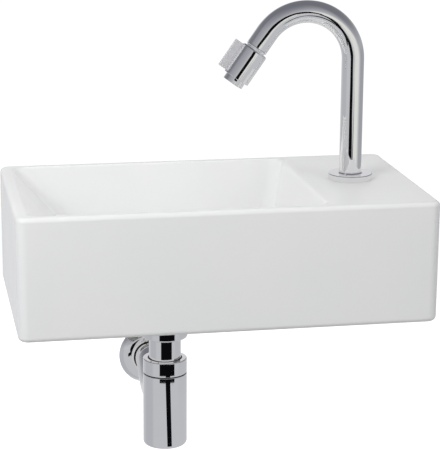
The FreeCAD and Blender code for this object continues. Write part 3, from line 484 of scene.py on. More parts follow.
def cut(piece, tool):
    """Take the tool's shape out of the piece."""
    apply_modifier(piece, "BOOLEAN", operation="DIFFERENCE", solver="EXACT", object=tool)
    bpy.data.objects.remove(tool)


def finish_surface(piece, angle=35, bevel=None):
    """Break the sharp edges where a bevel is given, then shade the piece smoothly."""
    if bevel:
        apply_modifier(piece, "BEVEL", width=bevel, segments=2, limit_method="ANGLE",
                       angle_limit=math.radians(40))
    select_alone(piece)
    bpy.ops.object.shade_smooth_by_angle(angle=math.radians(angle))
    apply_modifier(piece, "WEIGHTED_NORMAL", keep_sharp=True, weight=50)


def dress(piece, finish, body, node):
    """Give a finished piece its material and its place in the frame."""
    piece.data.materials.clear()
    piece.data.materials.append(finish)
    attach(piece, body)
    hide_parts(node)


def glaze_finish():
    """Thick white glaze, very slightly uneven; the back and the foot are bare fired clay."""
    material, shading = start_finish("white_glaze")
    place = shading.piece_place()
    cloud = shading.noise(place, 9.0)
    fine = shading.noise(place, 260.0, 3.0)
    speck = shading.add("ShaderNodeTexVoronoi", vector=place, scale=95.0)
    colour = shading.blend(cloud.between(0.35, 0.65), (0.880, 0.885, 0.885), (0.895, 0.897, 0.893))
    pinhole = 1 - shading.value(speck, 0).between(0.03, 0.075)
    pinhole = pinhole * shading.noise(place, 31.0, 0.0).between(0.66, 0.72)
    colour = shading.blend(pinhole * 0.35, colour, (0.62, 0.60, 0.56))
    height = shading.noise(place, 14.0, 1.0) * 0.6 + fine * 0.004 - pinhole * 0.05
    bump = shading.add("ShaderNodeBump", height=height, strength=0.35, distance=0.0006)
    _, depth, height_up = shading.split(place)
    bare = depth.between(back_y - 0.0006, back_y - 0.0002)
    bare = bare.maths("MAXIMUM", 1 - height_up.between(base_z + 0.0002, base_z + 0.0006))
    colour = shading.blend(bare, colour, (0.80, 0.775, 0.73))
    shading.show(shading.add(
        "ShaderNodeBsdfPrincipled", base_color=colour, roughness=0.18 + cloud * 0.08 + bare * 0.55,
        normal=bump.outputs[0], ior=1.5, coat_weight=0.1 * (1 - bare), coat_roughness=0.05))
    return material


def build_ceramic_body():
    body = add_rounded_plate("ceramic_body", basin_low.x, basin_high.x, basin_low.y, back_y, base_z,
                             upright_radius, 8)
    bpy.ops.mesh.extrude_region_move(TRANSFORM_OT_translate={"value": (0, 0, rim_z - base_z)})

    def lies_at(edge, height):
        return all(is_near(corner.co.z, height) for corner in edge.verts)

    pick(body, "EDGE", lambda edge: lies_at(edge, rim_z))
    bpy.ops.mesh.bevel(offset=top_radius, segments=6)
    pick(body, "EDGE", lambda edge: lies_at(edge, base_z))
    bpy.ops.mesh.bevel(offset=base_radius, segments=6)
    face_outwards()
    pick(body, "FACE",
         lambda face: face.normal.z > 0.99 and is_near(face.calc_center_median().z, rim_z))
    bpy.ops.mesh.delete(type="FACE")
    close_piece()

    def wall_place(height, angle):
        """How far a wall that leans by angle stands out from its foot's sharp line at a height."""
        turn = math.pi / 2 - angle
        foot = bowl_floor_radius * math.tan(turn / 2)
        if height < bowl_floor_radius * (1 - math.cos(turn)):
            swing = math.acos(1 - height / bowl_floor_radius)
            return bowl_floor_radius * math.sin(swing) - foot
        return height * math.tan(angle)

    floor_z = rim_z - bowl_depth
    mouth = (basin_low.x + rim_left, basin_low.x + rim_left + bowl_length,
             basin_low.y + rim_long, back_y - rim_long)
    foot = (mouth[0] + bowl_depth * math.tan(ramp_angle),
            mouth[1] - bowl_depth * math.tan(steep_angle),
            mouth[2] + bowl_depth * math.tan(long_angle),
            mouth[3] - bowl_depth * math.tan(long_angle))

    def outline(height):
        return (foot[0] - wall_place(height, ramp_angle), foot[1] + wall_place(height, steep_angle),
                foot[2] - wall_place(height, long_angle), foot[3] + wall_place(height, long_angle))

    wall_heights = [0, 0.0004, 0.0015, 0.0035, 0.0065, 0.0102, 0.0142, 0.0169, 0.040, bowl_depth]
    last = outline(0)
    bowl = add_rounded_plate("bowl", *last, floor_z, bowl_corner_radius, 8)
    for below, height in zip(wall_heights, wall_heights[1:]):
        new = outline(height)
        centre = ((last[0] + last[1]) / 2, (last[2] + last[3]) / 2, floor_z + height)
        pull = ((new[1] - new[0]) / (last[1] - last[0]), (new[3] - new[2]) / (last[3] - last[2]), 1)
        shift = ((new[0] + new[1] - last[0] - last[1]) / 2,
                 (new[2] + new[3] - last[2] - last[3]) / 2, 0)
        if below == 0:
            pick(bowl, "EDGE", lambda edge: edge.is_boundary)
        pull_edges((0, 0, height - below))
        bpy.ops.transform.resize(value=pull, center_override=centre)
        bpy.ops.transform.translate(value=shift)
        last = new
    close_piece()

    join_pieces([body, bowl])
    open_piece(body)
    pick(body, "EDGE", lambda edge: edge.is_boundary)
    bpy.ops.mesh.bridge_edge_loops()
    face_outwards()

    def at_mouth(edge):
        middle = (edge.verts[0].co + edge.verts[1].co) / 2
        inside = (mouth[0] - mm < middle.x < mouth[1] + mm
                  and mouth[2] - mm < middle.y < mouth[3] + mm)
        deck_faces = [face for face in edge.link_faces if abs(face.normal.z) > 0.999]
        return lies_at(edge, rim_z) and inside and len(deck_faces) == 1

    pick(body, "EDGE", at_mouth)
    bpy.ops.mesh.bevel(offset=bowl_mouth_radius * 0.8, segments=5)
    close_piece()
    return body, mouth, floor_z


ceramic, mouth, bowl_floor_z = build_ceramic_body()


def add_drum(name, radius, low, high, x, y, corners=64):
    """A plain drum to cut a round hole with."""
    bpy.ops.object.select_all(action="DESELECT")
    bpy.ops.mesh.primitive_cylinder_add(
        vertices=corners, radius=radius, depth=high - low, location=(x, y, (low + high) / 2))
    drum = bpy.context.object
    drum.name = name
    bpy.ops.object.transform_apply(location=True, rotation=True, scale=True)
    return drum


def cut_hollow():
    """The hollow below follows the bowl's ramp, floor and steep wall."""
    run = 3 * mm
    inner_left = basin_low.x + skirt_wall
    inner_right = basin_high.x - skirt_wall
    reach = bowl_depth + bowl_wall
    ramp_left = mouth[0] - bowl_wall / math.cos(ramp_angle)
    steep_x = mouth[1] + bowl_wall / math.cos(steep_angle)
    roof = [
        (inner_left, rim_z - (inner_left - ramp_left) / math.tan(ramp_angle)),
        (ramp_left + reach * math.tan(ramp_angle), rim_z - reach),
        (steep_x - reach * math.tan(steep_angle), rim_z - reach),
        (steep_x - deck_wall * math.tan(steep_angle), rim_z - deck_wall),
        (inner_right, rim_z - deck_wall)]
    hollow = add_rounded_plate("hollow", inner_left, inner_right, basin_low.y + skirt_wall,
                               back_y - back_wall, base_z - run, 8 * mm, 6)
    bpy.ops.mesh.extrude_region_move(TRANSFORM_OT_translate={"value": (0, 0, rim_z - base_z + run)})
    for x, _ in roof[1:4]:
        bpy.ops.mesh.select_all(action="SELECT")
        bpy.ops.mesh.bisect(plane_co=(x, 0, 0), plane_no=(1, 0, 0))
    face_outwards()
    mesh = bmesh.from_edit_mesh(hollow.data)
    for corner in mesh.verts:
        if corner.co.z > base_z:
            for (x0, z0), (x1, z1) in zip(roof, roof[1:]):
                if x0 - 1e-6 <= corner.co.x <= x1 + 1e-6:
                    corner.co.z = z0 + (z1 - z0) * (corner.co.x - x0) / (x1 - x0)
                    break
    bmesh.update_edit_mesh(hollow.data)
    close_piece()
    cut(ceramic, hollow)


cut_hollow()

dish_radius = 52 * mm
dish_sink = 3.5 * mm
dish_rise = 2 * mm
seat_radius = 33 * mm
drain_hole_radius = 23 * mm
tap_hole_radius = 17.5 * mm
fixing_hole_radius = 6 * mm
fixing_x = 160 * mm
fixing_setback = 8 * mm
drill_depth = 20 * mm

dish = add_drum("dish", dish_radius, bowl_floor_z - dish_sink, bowl_floor_z + dish_rise,
                drain_x, drain_y)
open_piece(dish)
pick(dish, "EDGE", lambda edge: all(corner.co.z < bowl_floor_z for corner in edge.verts))
bpy.ops.transform.resize(value=(seat_radius / dish_radius, seat_radius / dish_radius, 1),
                         center_override=(drain_x, drain_y, bowl_floor_z - dish_sink))
pick(dish, "EDGE", lambda edge: all(corner.co.z > bowl_floor_z for corner in edge.verts))
top_growth = 1 + dish_rise * (dish_radius - seat_radius) / dish_sink / dish_radius
bpy.ops.transform.resize(value=(top_growth, top_growth, 1), center_override=(drain_x, drain_y, 0))
close_piece()
cut(ceramic, dish)
cut(ceramic, add_drum("drain_hole", drain_hole_radius, bowl_floor_z - drill_depth, bowl_floor_z,
                      drain_x, drain_y))
cut(ceramic, add_drum("tap_hole", tap_hole_radius, rim_z - drill_depth, rim_z + mm, tap_x, tap_y))
for side in (-1, 1):
    drill = add_drum("fixing_hole", fixing_hole_radius, -drill_depth, drill_depth, 0, 0, 40)
    move_piece(drill, (fixing_x * side, back_y - fixing_setback, 0), (math.pi / 2, 0, 0))
    cut(ceramic, drill)
finish_surface(ceramic, angle=30)
dress(ceramic, glaze_finish(), "basin_body", "basin")


# Grid waste: a dished chromed plate with two rings of drain holes, and the slotted screw that
# clamps it to the waste under the bowl. It lies in the shallow dish of the bowl's floor.
seat_z = bowl_floor_z - dish_sink
plate_top = 0.4
plate_base = -1.1
sheet_top = 3
screw_head_base = -2.4


def open_circle(name, radius, place, corners=96, turn=0.0):
    """A circle, lying flat or turned about X, left open for editing and selected all over."""
    bpy.ops.object.select_all(action="DESELECT")
    bpy.ops.mesh.primitive_circle_add(vertices=corners, radius=radius, location=place,
                                      rotation=(turn, 0, 0))
    piece = bpy.context.object
    piece.name = name
    bpy.ops.object.transform_apply(location=True, rotation=True, scale=True)
    open_piece(piece)
    bpy.ops.mesh.select_all(action="SELECT")
    return piece


def turn_piece(name, profile, x=0.0, y=0.0, base=0.0, corners=96, capped=False):
    """A round piece drawn from a circle. Its profile gives each ring's radius and its height over
    the base, in millimetres."""
    rings = [(radius * mm, base + height * mm) for radius, height in profile]
    radius, height = rings[0]
    piece = open_circle(name, radius, (x, y, height), corners)
    for new_radius, new_height in rings[1:]:
        pull_edges((0, 0, new_height - height))
        growth = new_radius / radius
        bpy.ops.transform.resize(value=(growth, growth, 1), center_override=(x, y, new_height))
        radius, height = new_radius, new_height
    if capped:
        bpy.ops.mesh.select_all(action="SELECT")
        bpy.ops.mesh.fill_holes(sides=0)
    else:
        pick(piece, "EDGE", lambda edge: edge.is_boundary)
        bpy.ops.mesh.bridge_edge_loops()
    face_outwards()
    close_piece()
    return piece


def add_block(name, size, place, turn=0.0):
    """A plain block, whose size is given in millimetres, turned about its upright axis."""
    bpy.ops.object.select_all(action="DESELECT")
    bpy.ops.mesh.primitive_cube_add(size=1, location=place)
    piece = bpy.context.object
    piece.name = name
    piece.scale = [side * mm for side in size]
    piece.rotation_euler = (0, 0, turn)
    bpy.ops.object.transform_apply(location=True, rotation=True, scale=True)
    return piece


def chrome_finish():
    """Bright plating: a faint haze of wiping marks and water spots in its polish."""
    material, shading = start_finish("bright_chrome")
    place = shading.piece_place()
    haze = shading.noise(place, 45.0, 4.0)
    wiped = shading.streaks(place, (900.0, 900.0, 60.0))
    spots = shading.value(shading.add("ShaderNodeTexVoronoi", vector=place, scale=180.0), 0)
    spot = (1 - spots.between(0.10, 0.22)) * shading.noise(place, 22.0).between(0.60, 0.68)
    colour = shading.blend(haze.between(0.3, 0.7), (0.80, 0.80, 0.8064), (0.788, 0.788, 0.80))
    polish = 0.012 + wiped.between(0.45, 0.8) * 0.012 + haze.between(0.4, 0.8) * 0.01 + spot * 0.06
    shading.show(shading.add("ShaderNodeBsdfPrincipled", base_color=colour, metallic=1.0,
                             roughness=polish))
    return material


chrome = chrome_finish()

grid = turn_piece("waste_plate", [
    (5.7, plate_top), (19.5, plate_top), (25, sheet_top - 0.6), (28, sheet_top - 0.1),
    (30, sheet_top), (31, sheet_top - 0.35), (31.5, sheet_top - 0.75), (31.5, 1.5), (25, 1.5),
    (21, plate_base), (8.6, plate_base), (5.6, screw_head_base), (3.1, screw_head_base)],
    drain_x, drain_y, seat_z, corners=128)
drills = []
for count, ring, radius in ((14, 14.5 * mm, 2.3 * mm), (8, 9.2 * mm, 1.7 * mm)):
    for number in range(count):
        angle = math.tau * number / count
        drills.append(add_drum("drill", radius, seat_z + (plate_base - 4) * mm,
                               seat_z + (plate_top + 1) * mm, drain_x + ring * math.cos(angle),
                               drain_y + ring * math.sin(angle), 24))
cut(grid, join_pieces(drills))
finish_surface(grid, bevel=0.2 * mm)
dress(grid, chrome, "basin_body", "waste_grid")

screw = turn_piece("waste_plate_screw", [
    (3, plate_top - 43), (3, screw_head_base), (5.4, plate_top - 0.15), (5.2, plate_top)],
    drain_x, drain_y, seat_z, corners=48, capped=True)
cut(screw, add_block("slot", (1.2, 14, 2.6), (drain_x, drain_y, seat_z + plate_top * mm)))
finish_surface(screw)
dress(screw, chrome, "basin_body", "waste_screw")


# Ring nut, inlet tube and bottle trap: smooth round chromed turnings on the drain's axis. A black
# seal shows round the tube on top, and a thin black ring lies under the bottle's own nut.
coupling_top = -57
coupling_base = -79.5
collar_base = -69
collar_top = -67.5
inlet_base = -179
nut_top = -101.5
nut_base = -116.4
bottle_top = -117
bottle_base = -192.5
seam_lift = 0.3
outlet_z = -153 * mm
tube_radius = 16 * mm


def rounded(rings_before, corner, radius, start, end, count=5):
    """The rings of a rounded corner whose centre is at corner, from one angle to another."""
    rings = list(rings_before)
    for number in range(count + 1):
        angle = math.radians(start + (end - start) * number / count)
        rings.append((corner[0] + radius * math.cos(angle), corner[1] + radius * math.sin(angle)))
    return rings


def black_rubber():
    """Moulded rubber: nearly black, dull, with a fine grain."""
    material, shading = start_finish("seal_rubber")
    place = shading.piece_place()
    bloom = shading.noise(place, 120.0)
    colour = shading.blend(bloom.between(0.4, 0.8), (0.012, 0.012, 0.012), (0.024, 0.024, 0.0252))
    bump = shading.add("ShaderNodeBump", height=shading.noise(place, 1400.0), strength=0.3,
                       distance=0.0001)
    shading.show(shading.add("ShaderNodeBsdfPrincipled", base_color=colour,
                             roughness=0.42 + bloom * 0.2, normal=bump.outputs[0]))
    return material


rubber = black_rubber()

nut = turn_piece(
    "ring_nut",
    rounded(rounded([(16.1, coupling_base)], (20.9, coupling_base + 1.6), 1.6, -90, 0),
            (21.7, coupling_top - 0.8), 0.8, 0, 90, 3)
    + [(21.1, coupling_top), (21.1, collar_base), (16.1, collar_base)], drain_x, drain_y)
finish_surface(nut)
dress(nut, chrome, "basin_body", "trap_coupling_nut")

tube = turn_piece("inlet_tube", [
    (15, inlet_base), (16, inlet_base), (16, collar_base), (20.2, collar_base),
    (20.2, collar_top), (15, collar_top)], drain_x, drain_y)
finish_surface(tube, bevel=0.15 * mm)
dress(tube, chrome, "basin_body", "trap_inlet_tube")

seam_top = nut_base + seam_lift
seam_base = bottle_top - seam_lift
top_nut = turn_piece(
    "bottle_nut",
    rounded(rounded([(19.5, seam_top)], (21.7, seam_top + 0.3), 0.3, -90, 0, 2),
            (21.1, nut_top - 0.9), 0.9, 0, 90)
    + [(17.4, nut_top), (17.2, nut_top - 0.2), (17.3, nut_top - 0.5), (18.3, nut_top - 0.8),
       (18.3, nut_top - 2.6), (19.5, nut_top - 5)], drain_x, drain_y)
finish_surface(top_nut)
dress(top_nut, chrome, "basin_body", "trap_top_nut")

seal = turn_piece("cone_seal", [
    (16.05, nut_top - 0.5), (17.0, nut_top - 0.5), (18.25, nut_top - 0.9), (18.25, nut_top - 2.4),
    (16.05, nut_top - 5.8)], drain_x, drain_y)
finish_surface(seal, angle=50)
dress(seal, rubber, "basin_body", "trap_cone_seal")

seam = turn_piece("seam_ring", [
    (19.5, seam_base), (21.6, seam_base), (21.6, seam_top), (19.5, seam_top)], drain_x, drain_y)
finish_surface(seam)
dress(seam, rubber, "basin_body", "trap_seam_ring")

bottle = turn_piece(
    "bottle",
    rounded([], (18.5, bottle_base + 3.5), 3.5, -90, 0, 8)
    + [(22, bottle_top - 0.6), (21.7, seam_base), (19.4, seam_base), (19.4, bottle_top + 8),
       (17.2, bottle_top + 8), (17.2, bottle_top - 3), (20.5, bottle_top - 3),
       (20.5, bottle_base + 4), (19, bottle_base + 2.5)], drain_x, drain_y, capped=True)
port = add_drum("port", tube_radius, -15 * mm, 15 * mm, 0, 0, 96)
move_piece(port, (drain_x, drain_y + 24 * mm, outlet_z), (math.pi / 2, 0, 0))
cut(bottle, port)
finish_surface(bottle)
dress(bottle, chrome, "basin_body", "trap_body")


# Outlet tube: 32 mm chromed tube that leaves the bottle at the back, swings up through two equal
# bends and enters the wall, where a thin dished chromed rosette covers the hole.
outlet_bend = 34 * mm
bend_steps = 10
wall_outlet_z = -136 * mm
tube_start = drain_y + 17.8 * mm
second_end = -14 * mm
mark_start = 4 * mm
mark_end = 5 * mm
tail_end = 45 * mm
tail_bore_depth = 12 * mm
mark_share = 15.7 / 16
bore_share = 15 / 16

rise = wall_outlet_z - outlet_z
turn_each = math.acos(1 - rise / outlet_bend / 2)
first_start = second_end - 2 * outlet_bend * math.sin(turn_each)
outlet = open_circle("outlet_tube", tube_radius, (drain_x, tube_start, outlet_z), turn=math.pi / 2)
pull_edges((0, first_start - tube_start, 0))
bpy.ops.mesh.spin(steps=bend_steps, angle=-turn_each, axis=(1, 0, 0),
                  center=(drain_x, first_start, outlet_z + outlet_bend))
bpy.ops.mesh.spin(steps=bend_steps, angle=turn_each, axis=(1, 0, 0),
                  center=(drain_x, second_end, wall_outlet_z - outlet_bend))
for step, share in ((mark_start - second_end, 1), (0, mark_share), (mark_end - mark_start, 1),
                    (0, 1 / mark_share), (tail_end - mark_end, 1), (0, bore_share),
                    (-tail_bore_depth, 1)):
    pull_edges((0, step, 0))
    bpy.ops.transform.resize(value=(share, 1, share), center_override=(drain_x, 0, wall_outlet_z))
bpy.ops.mesh.select_all(action="SELECT")
bpy.ops.mesh.remove_doubles(threshold=1e-6)
face_outwards()
close_piece()
finish_surface(outlet)
dress(outlet, chrome, "basin_body", "trap_outlet_tube")

rosette = turn_piece("rosette", [
    (18.5, 9), (21, 8.95), (24, 8.2), (27, 6.3), (29.3, 4), (31, 1.6), (31.5, 1.0), (31.5, 0),
    (30.5, 0), (28.6, 3.4), (26.3, 5.6), (23.6, 7.3), (21, 7.95), (18.5, 8), (17.1, 8), (17.1, 9)])
move_piece(rosette, (drain_x, 0, wall_outlet_z), (math.pi / 2, 0, 0))
finish_surface(rosette)
dress(rosette, chrome, "basin_body", "wall_rosette")


# Tap base and spout: a plain chromed flange on the deck, and a 22 mm tube that rises from it and
# bends over the bowl in one arch until its mouth looks down and to the left.
flange_height = 6
hub_base = -9
socket_floor = 1.5
spout_radius = 11 * mm
spout_wall = 1.2 * mm
spout_base = rim_z + socket_floor * mm
spout_straight = 16.5 * mm
arch_radius = 47.5 * mm
arch_x = tap_x - arch_radius
arch_z = rim_z + 119.5 * mm
arch_turn = math.radians(145)
arch_steps = 58
mouth_tilt = math.pi - arch_turn

flange = turn_piece(
    "tap_base",
    rounded(rounded([(14.5, 0), (18.2, 0)], (21.8, 0.2), 0.2, -90, 0, 2),
            (21.2, flange_height - 0.8), 0.8, 0, 90, 4)
    + [(12.4, flange_height), (11.2, flange_height + 1.2), (11.05, flange_height + 1.2),
       (11.05, socket_floor), (10.5, socket_floor), (10.5, hub_base), (14.5, hub_base)],
    tap_x, tap_y, rim_z)
finish_surface(flange)
dress(flange, chrome, "basin_body", "tap_flange")

spout = open_circle("spout", spout_radius, (tap_x, tap_y, spout_base))
pull_edges((0, 0, arch_z - spout_base))
bpy.ops.mesh.spin(steps=arch_steps, angle=arch_turn, center=(arch_x, tap_y, arch_z), axis=(0, 1, 0))
arch_end = Vector((arch_x + arch_radius * math.cos(arch_turn), tap_y,
                   arch_z + arch_radius * math.sin(arch_turn)))
down = Vector((-math.sin(mouth_tilt), 0, -math.cos(mouth_tilt)))
pull_edges(down * spout_straight)
bpy.ops.mesh.select_all(action="SELECT")
bpy.ops.mesh.remove_doubles(threshold=1e-6)
face_outwards()
close_piece()
apply_modifier(spout, "SOLIDIFY", thickness=spout_wall, offset=-1)
finish_surface(spout)
dress(spout, chrome, "basin_body", "spout_tube")


# Spout's mouth: a neck ring on the tube, the turning sleeve with its flat lever, and the aerator's
# ring. They are drawn upright round the origin, then leaned onto the mouth's axis.
sleeve_top = -19.6
sleeve_base = -52.6
ring_top = -42.6
ring_base = -58.6
insert_face = -57.6
lever_middle = -36.1 * mm


def lean(piece):
    """Put a piece that was drawn about the upright axis onto the axis of the spout's mouth."""
    move_piece(piece, arch_end, (0, mouth_tilt, 0))


def satin_metal():
    """Fine-brushed metal: the brush lines run along the lever."""
    material, shading = start_finish("satin_lever")
    place = shading.piece_place()
    lines = shading.streaks(place, (2500.0, 2500.0, 60.0), turn=(0, -mouth_tilt, 0))
    cloud = shading.noise(place, 60.0)
    colour = shading.blend(lines, (0.71, 0.71, 0.74), (0.75, 0.75, 0.78))
    bump = shading.add("ShaderNodeBump", height=lines, strength=0.05, distance=0.00005)
    shading.show(shading.add("ShaderNodeBsdfPrincipled", base_color=colour, metallic=0.4,
                             roughness=0.30 + cloud * 0.12, normal=bump.outputs[0]))
    return material


neck = turn_piece("neck", [
    (6, -8), (9.75, -8), (9.75, -16.7), (10.4, -16.7), (10.85, -16.9), (11.05, -17.3),
    (11.0, -17.7), (10.7, -18.1), (10.0, -18.3), (9.9, -19.5), (9, -19.5), (9, -33.5),
    (8.05, -33.5), (8.05, -31), (6, -31)])
lean(neck)
finish_surface(neck)
dress(neck, chrome, "basin_body", "valve_core")

sleeve = turn_piece(
    "sleeve",
    rounded([(9.7, sleeve_top), (11.8, sleeve_top), (12.1, sleeve_top - 0.1),
             (13.4, sleeve_top - 1.4), (13.5, sleeve_top - 1.7)],
            (13.05, sleeve_base + 0.45), 0.45, 0, -90, 4)
    + [(10.55, sleeve_base), (9.7, sleeve_base + 0.2)])
cut(sleeve, add_block("notch", (4.9, 4.6, 30.1), (-14 * mm, 0, lever_middle)))
lean(sleeve)
finish_surface(sleeve)
dress(sleeve, chrome, "handle", "turning_sleeve")

lever = add_block("lever", (10.4, 4.5, 30), (-16.8 * mm, 0, lever_middle))
open_piece(lever)
pick(lever, "EDGE", lambda edge: all(corner.co.x < -20 * mm for corner in edge.verts))
bpy.ops.mesh.bevel(offset=0.6 * mm, segments=4)
close_piece()
lean(lever)
finish_surface(lever, bevel=0.2 * mm)
dress(lever, satin_metal(), "handle", "lever_blade")

ring = turn_piece(
    "aerator_ring",
    rounded([(9.65, ring_top), (9.65, sleeve_base), (10.5, sleeve_base)],
            (10.0, ring_base + 0.5), 0.5, 0, -90, 4)
    + [(7.6, ring_base), (7.6, insert_face), (8.4, insert_face), (8.4, ring_top)])
lean(ring)
finish_surface(ring)
dress(ring, chrome, "handle", "aerator_housing")


# Aerator insert: a plastic honeycomb pressed into the ring, seen only from below the spout. Its
# cells lie in rings of six, twelve and eighteen round the middle one.
cell_pitch = 2.3 * mm
cell_radius = 0.8 * mm
cell_rings = 3


def moulded_plastic(name, colour, sheen):
    """Moulded plastic: one even colour with a fine matt grain and faint flow marks."""
    material, shading = start_finish(name)
    place = shading.piece_place()
    flow = shading.noise(place, 90.0, 1.0)
    darker = tuple(part * 0.93 for part in colour)
    tone = shading.blend(flow.between(0.3, 0.7), darker, colour)
    bump = shading.add("ShaderNodeBump", height=shading.noise(place, 1800.0), strength=0.2,
                       distance=0.00008)
    shading.show(shading.add("ShaderNodeBsdfPrincipled", base_color=tone,
                             roughness=sheen + flow * 0.1, normal=bump.outputs[0]))
    return material


insert = turn_piece("honeycomb", [(7.9, -48.6), (8.3, -49.0), (8.3, -57.4), (8.1, insert_face)],
                    corners=48, capped=True)
cells = []
for row in range(-cell_rings, cell_rings + 1):
    for column in range(-cell_rings, cell_rings + 1):
        if abs(row + column) <= cell_rings:
            cells.append(add_drum("cell", cell_radius, (insert_face - 1) * mm, -47 * mm,
                                  (column + row / 2) * cell_pitch,
                                  row * cell_pitch * math.sqrt(3) / 2, 6))
cut(insert, join_pieces(cells))
lean(insert)
finish_surface(insert)
dress(insert, moulded_plastic("grey_plastic", (0.42, 0.43, 0.44), 0.38),
      "handle", "aerator_insert")


# Threads: the brass waste under the bowl and the tap's brass tail are threaded pipes. A ridge winds
# up each one at the standard pitch, and the ring nut and the backnut hide part of it.
waste_thread_radius = 20.955
waste_thread_depth = 0.95
waste_pitch = 2.309
waste_core_radius = waste_thread_radius - waste_thread_depth
waste_base = -65.5
waste_rim = -20
tail_thread_radius = 10.478
tail_thread_depth = 0.85
tail_pitch = 1.814
tail_top = 76.5
half_across_flats = 15


def brass_finish():
    """Turned brass, a little dulled, with fine rings from the lathe."""
    material, shading = start_finish("turned_brass")
    place = shading.piece_place()
    lathe = shading.streaks(place, (30.0, 30.0, 3500.0), 1.0)
    cloud = shading.noise(place, 70.0, 3.0)
    colour = shading.blend(cloud.between(0.35, 0.75), (0.78, 0.60, 0.30), (0.62, 0.45, 0.21))
    bump = shading.add("ShaderNodeBump", height=lathe, strength=0.2, distance=0.00005)
    shading.show(shading.add("ShaderNodeBsdfPrincipled", base_color=colour, metallic=1.0,
                             roughness=0.22 + cloud * 0.18, normal=bump.outputs[0]))
    return material


def wind_thread(name, radius, depth, pitch, low, high, x, y):
    """A ridge of triangular section that winds up from low to high, its sizes in millimetres."""
    bpy.ops.object.select_all(action="DESELECT")
    bpy.ops.mesh.primitive_plane_add(size=1, location=(0, 0, 0), rotation=(math.pi / 2, 0, 0))
    ridge = bpy.context.object
    ridge.name = name
    bpy.ops.object.transform_apply(location=True, rotation=True, scale=True)
    open_piece(ridge)
    bpy.ops.mesh.select_all(action="SELECT")
    bpy.ops.mesh.delete(type="ONLY_FACE")
    mesh = bmesh.from_edit_mesh(ridge.data)
    crest, root = (radius, pitch * 0.08), (radius - depth * 1.3, pitch * 0.46)
    for corner in mesh.verts:
        reach, half = crest if corner.co.x > 0 else root
        height = low + pitch * 0.5 + (half if corner.co.z > 0 else -half)
        corner.co = (reach * mm, 0, height * mm)
    bmesh.update_edit_mesh(ridge.data)
    close_piece()
    apply_modifier(ridge, "SCREW", axis="Z", angle=math.tau, screw_offset=pitch * mm,
                   iterations=int((high - low) / pitch) - 1, steps=48, render_steps=48,
                   use_merge_vertices=False)
    open_piece(ridge)
    bpy.ops.mesh.select_all(action="SELECT")
    bpy.ops.mesh.remove_doubles(threshold=1e-6)
    bpy.ops.mesh.fill_holes(sides=0)
    face_outwards()
    close_piece()
    move_piece(ridge, (x, y, 0))
    return ridge


brass = brass_finish()
waste = turn_piece("threaded_waste", [
    (17.2, waste_base), (waste_core_radius, waste_base), (waste_core_radius, -22.5),
    (29.6, -22.5), (30, -22.1), (30, waste_rim - 0.3), (29.7, waste_rim), (20.9, waste_rim),
    (20.9, -15.2), (20.7, -15), (17.2, -15)], drain_x, drain_y)
boss = turn_piece("boss", [(6, -53.5), (6, -41.5), (3, -41.5), (3, -53.5)], drain_x, drain_y,
                  corners=48)
spokes = []
for along, across in ((34.6, 3), (3, 34.6)):
    spoke = add_block("spoke", (along, across, 6), (drain_x, drain_y, -50.5 * mm))
    cut(spoke, add_drum("bore", 4 * mm, -60 * mm, -40 * mm, drain_x, drain_y, 32))
    spokes.append(spoke)
ridge = wind_thread("waste_thread", waste_thread_radius, waste_thread_depth, waste_pitch,
                    waste_base + 0.3, -23, drain_x, drain_y)
finish_surface(waste)
waste = join_pieces([waste, boss, *spokes, ridge])
finish_surface(waste)
dress(waste, brass, "basin_body", "waste_body")

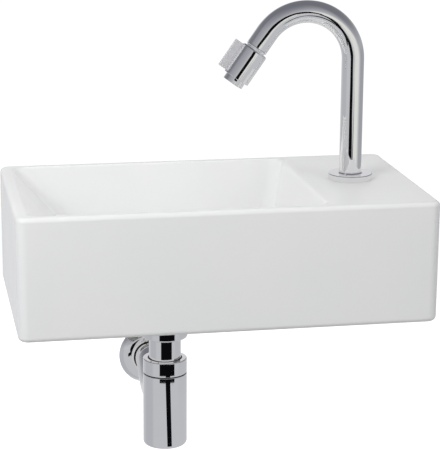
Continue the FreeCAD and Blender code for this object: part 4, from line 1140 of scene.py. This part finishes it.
shank = turn_piece("threaded_tail", [
    (7.5, 17), (9.0, 17), (9.6, 17.8), (9.6, 43), (9.5, 43), (9.5, 45), (9.6, 45), (9.6, 66),
    (10.4, 66), (10.4, tail_top), (6.5, tail_top), (6.5, 18)], tap_x, tap_y, corners=64)
ridges = [wind_thread("tail_thread", tail_thread_radius, tail_thread_depth, tail_pitch,
                      low, high, tap_x, tap_y) for low, high in ((17.6, 43.2), (44.6, 66.4))]
shank = join_pieces([shank, *ridges])
finish_surface(shank)
dress(shank, brass, "basin_body", "tap_shank")

backnut = turn_piece("backnut", [
    (10.55, 51.4), (14.4, 51.4), (17.25, 52.6), (17.25, 57.4), (18, 57.4), (18, 59.4),
    (10.55, 59.4)], tap_x, tap_y)
flat_block = (10, 20, 6.1)
reach = (half_across_flats + flat_block[0] / 2) * mm
for side in range(6):
    angle = math.tau * (side + 0.5) / 6
    cut(backnut, add_block("flat", flat_block, (
        tap_x + reach * math.cos(angle), tap_y + reach * math.sin(angle), 54.35 * mm), angle))
finish_surface(backnut)
dress(backnut, brass, "basin_body", "tap_backnut")


# Pieces that hardly show keep their own solids and get the finish of what they are made of: rubber
# washers and rings, plated steel, white plastic and the two fine ceramic discs of the valve.
def steel_finish():
    """Zinc-plated steel with a soft rolled sheen."""
    material, shading = start_finish("plated_steel")
    lines = shading.streaks(shading.piece_place(), (1500.0, 90.0, 90.0))
    colour = shading.blend(lines, (0.50, 0.51, 0.53), (0.60, 0.61, 0.62))
    shading.show(shading.add("ShaderNodeBsdfPrincipled", base_color=colour, metallic=1.0,
                             roughness=0.26 + lines * 0.16))
    return material


def disc_finish():
    """Dense lapped ceramic: warm white, almost without texture."""
    material, shading = start_finish("lapped_ceramic")
    cloud = shading.noise(shading.piece_place(), 220.0, 3.0)
    colour = shading.blend(cloud, (0.80, 0.78, 0.73), (0.86, 0.84, 0.80))
    shading.show(shading.add("ShaderNodeBsdfPrincipled", base_color=colour,
                             roughness=0.12 + cloud * 0.08))
    return material


def coat_node(names, finish):
    for name in names:
        for slot in nodes[name].material_slots:
            slot.material = finish


coat_node(("waste_upper_washer", "waste_lower_washer", "trap_flat_washer", "rosette_ring",
           "tap_flange_seal", "tap_deck_washer", "core_o_ring", "disc_seal", "aerator_washer"),
          rubber)
coat_node(("tap_steel_washer", "snap_ring"), steel_finish())
coat_node(("trap_slip_washer", "valve_carrier"),
          moulded_plastic("white_plastic", (0.78, 0.78, 0.76), 0.3))
coat_node(("valve_fixed_disc", "valve_turning_disc"), disc_finish())
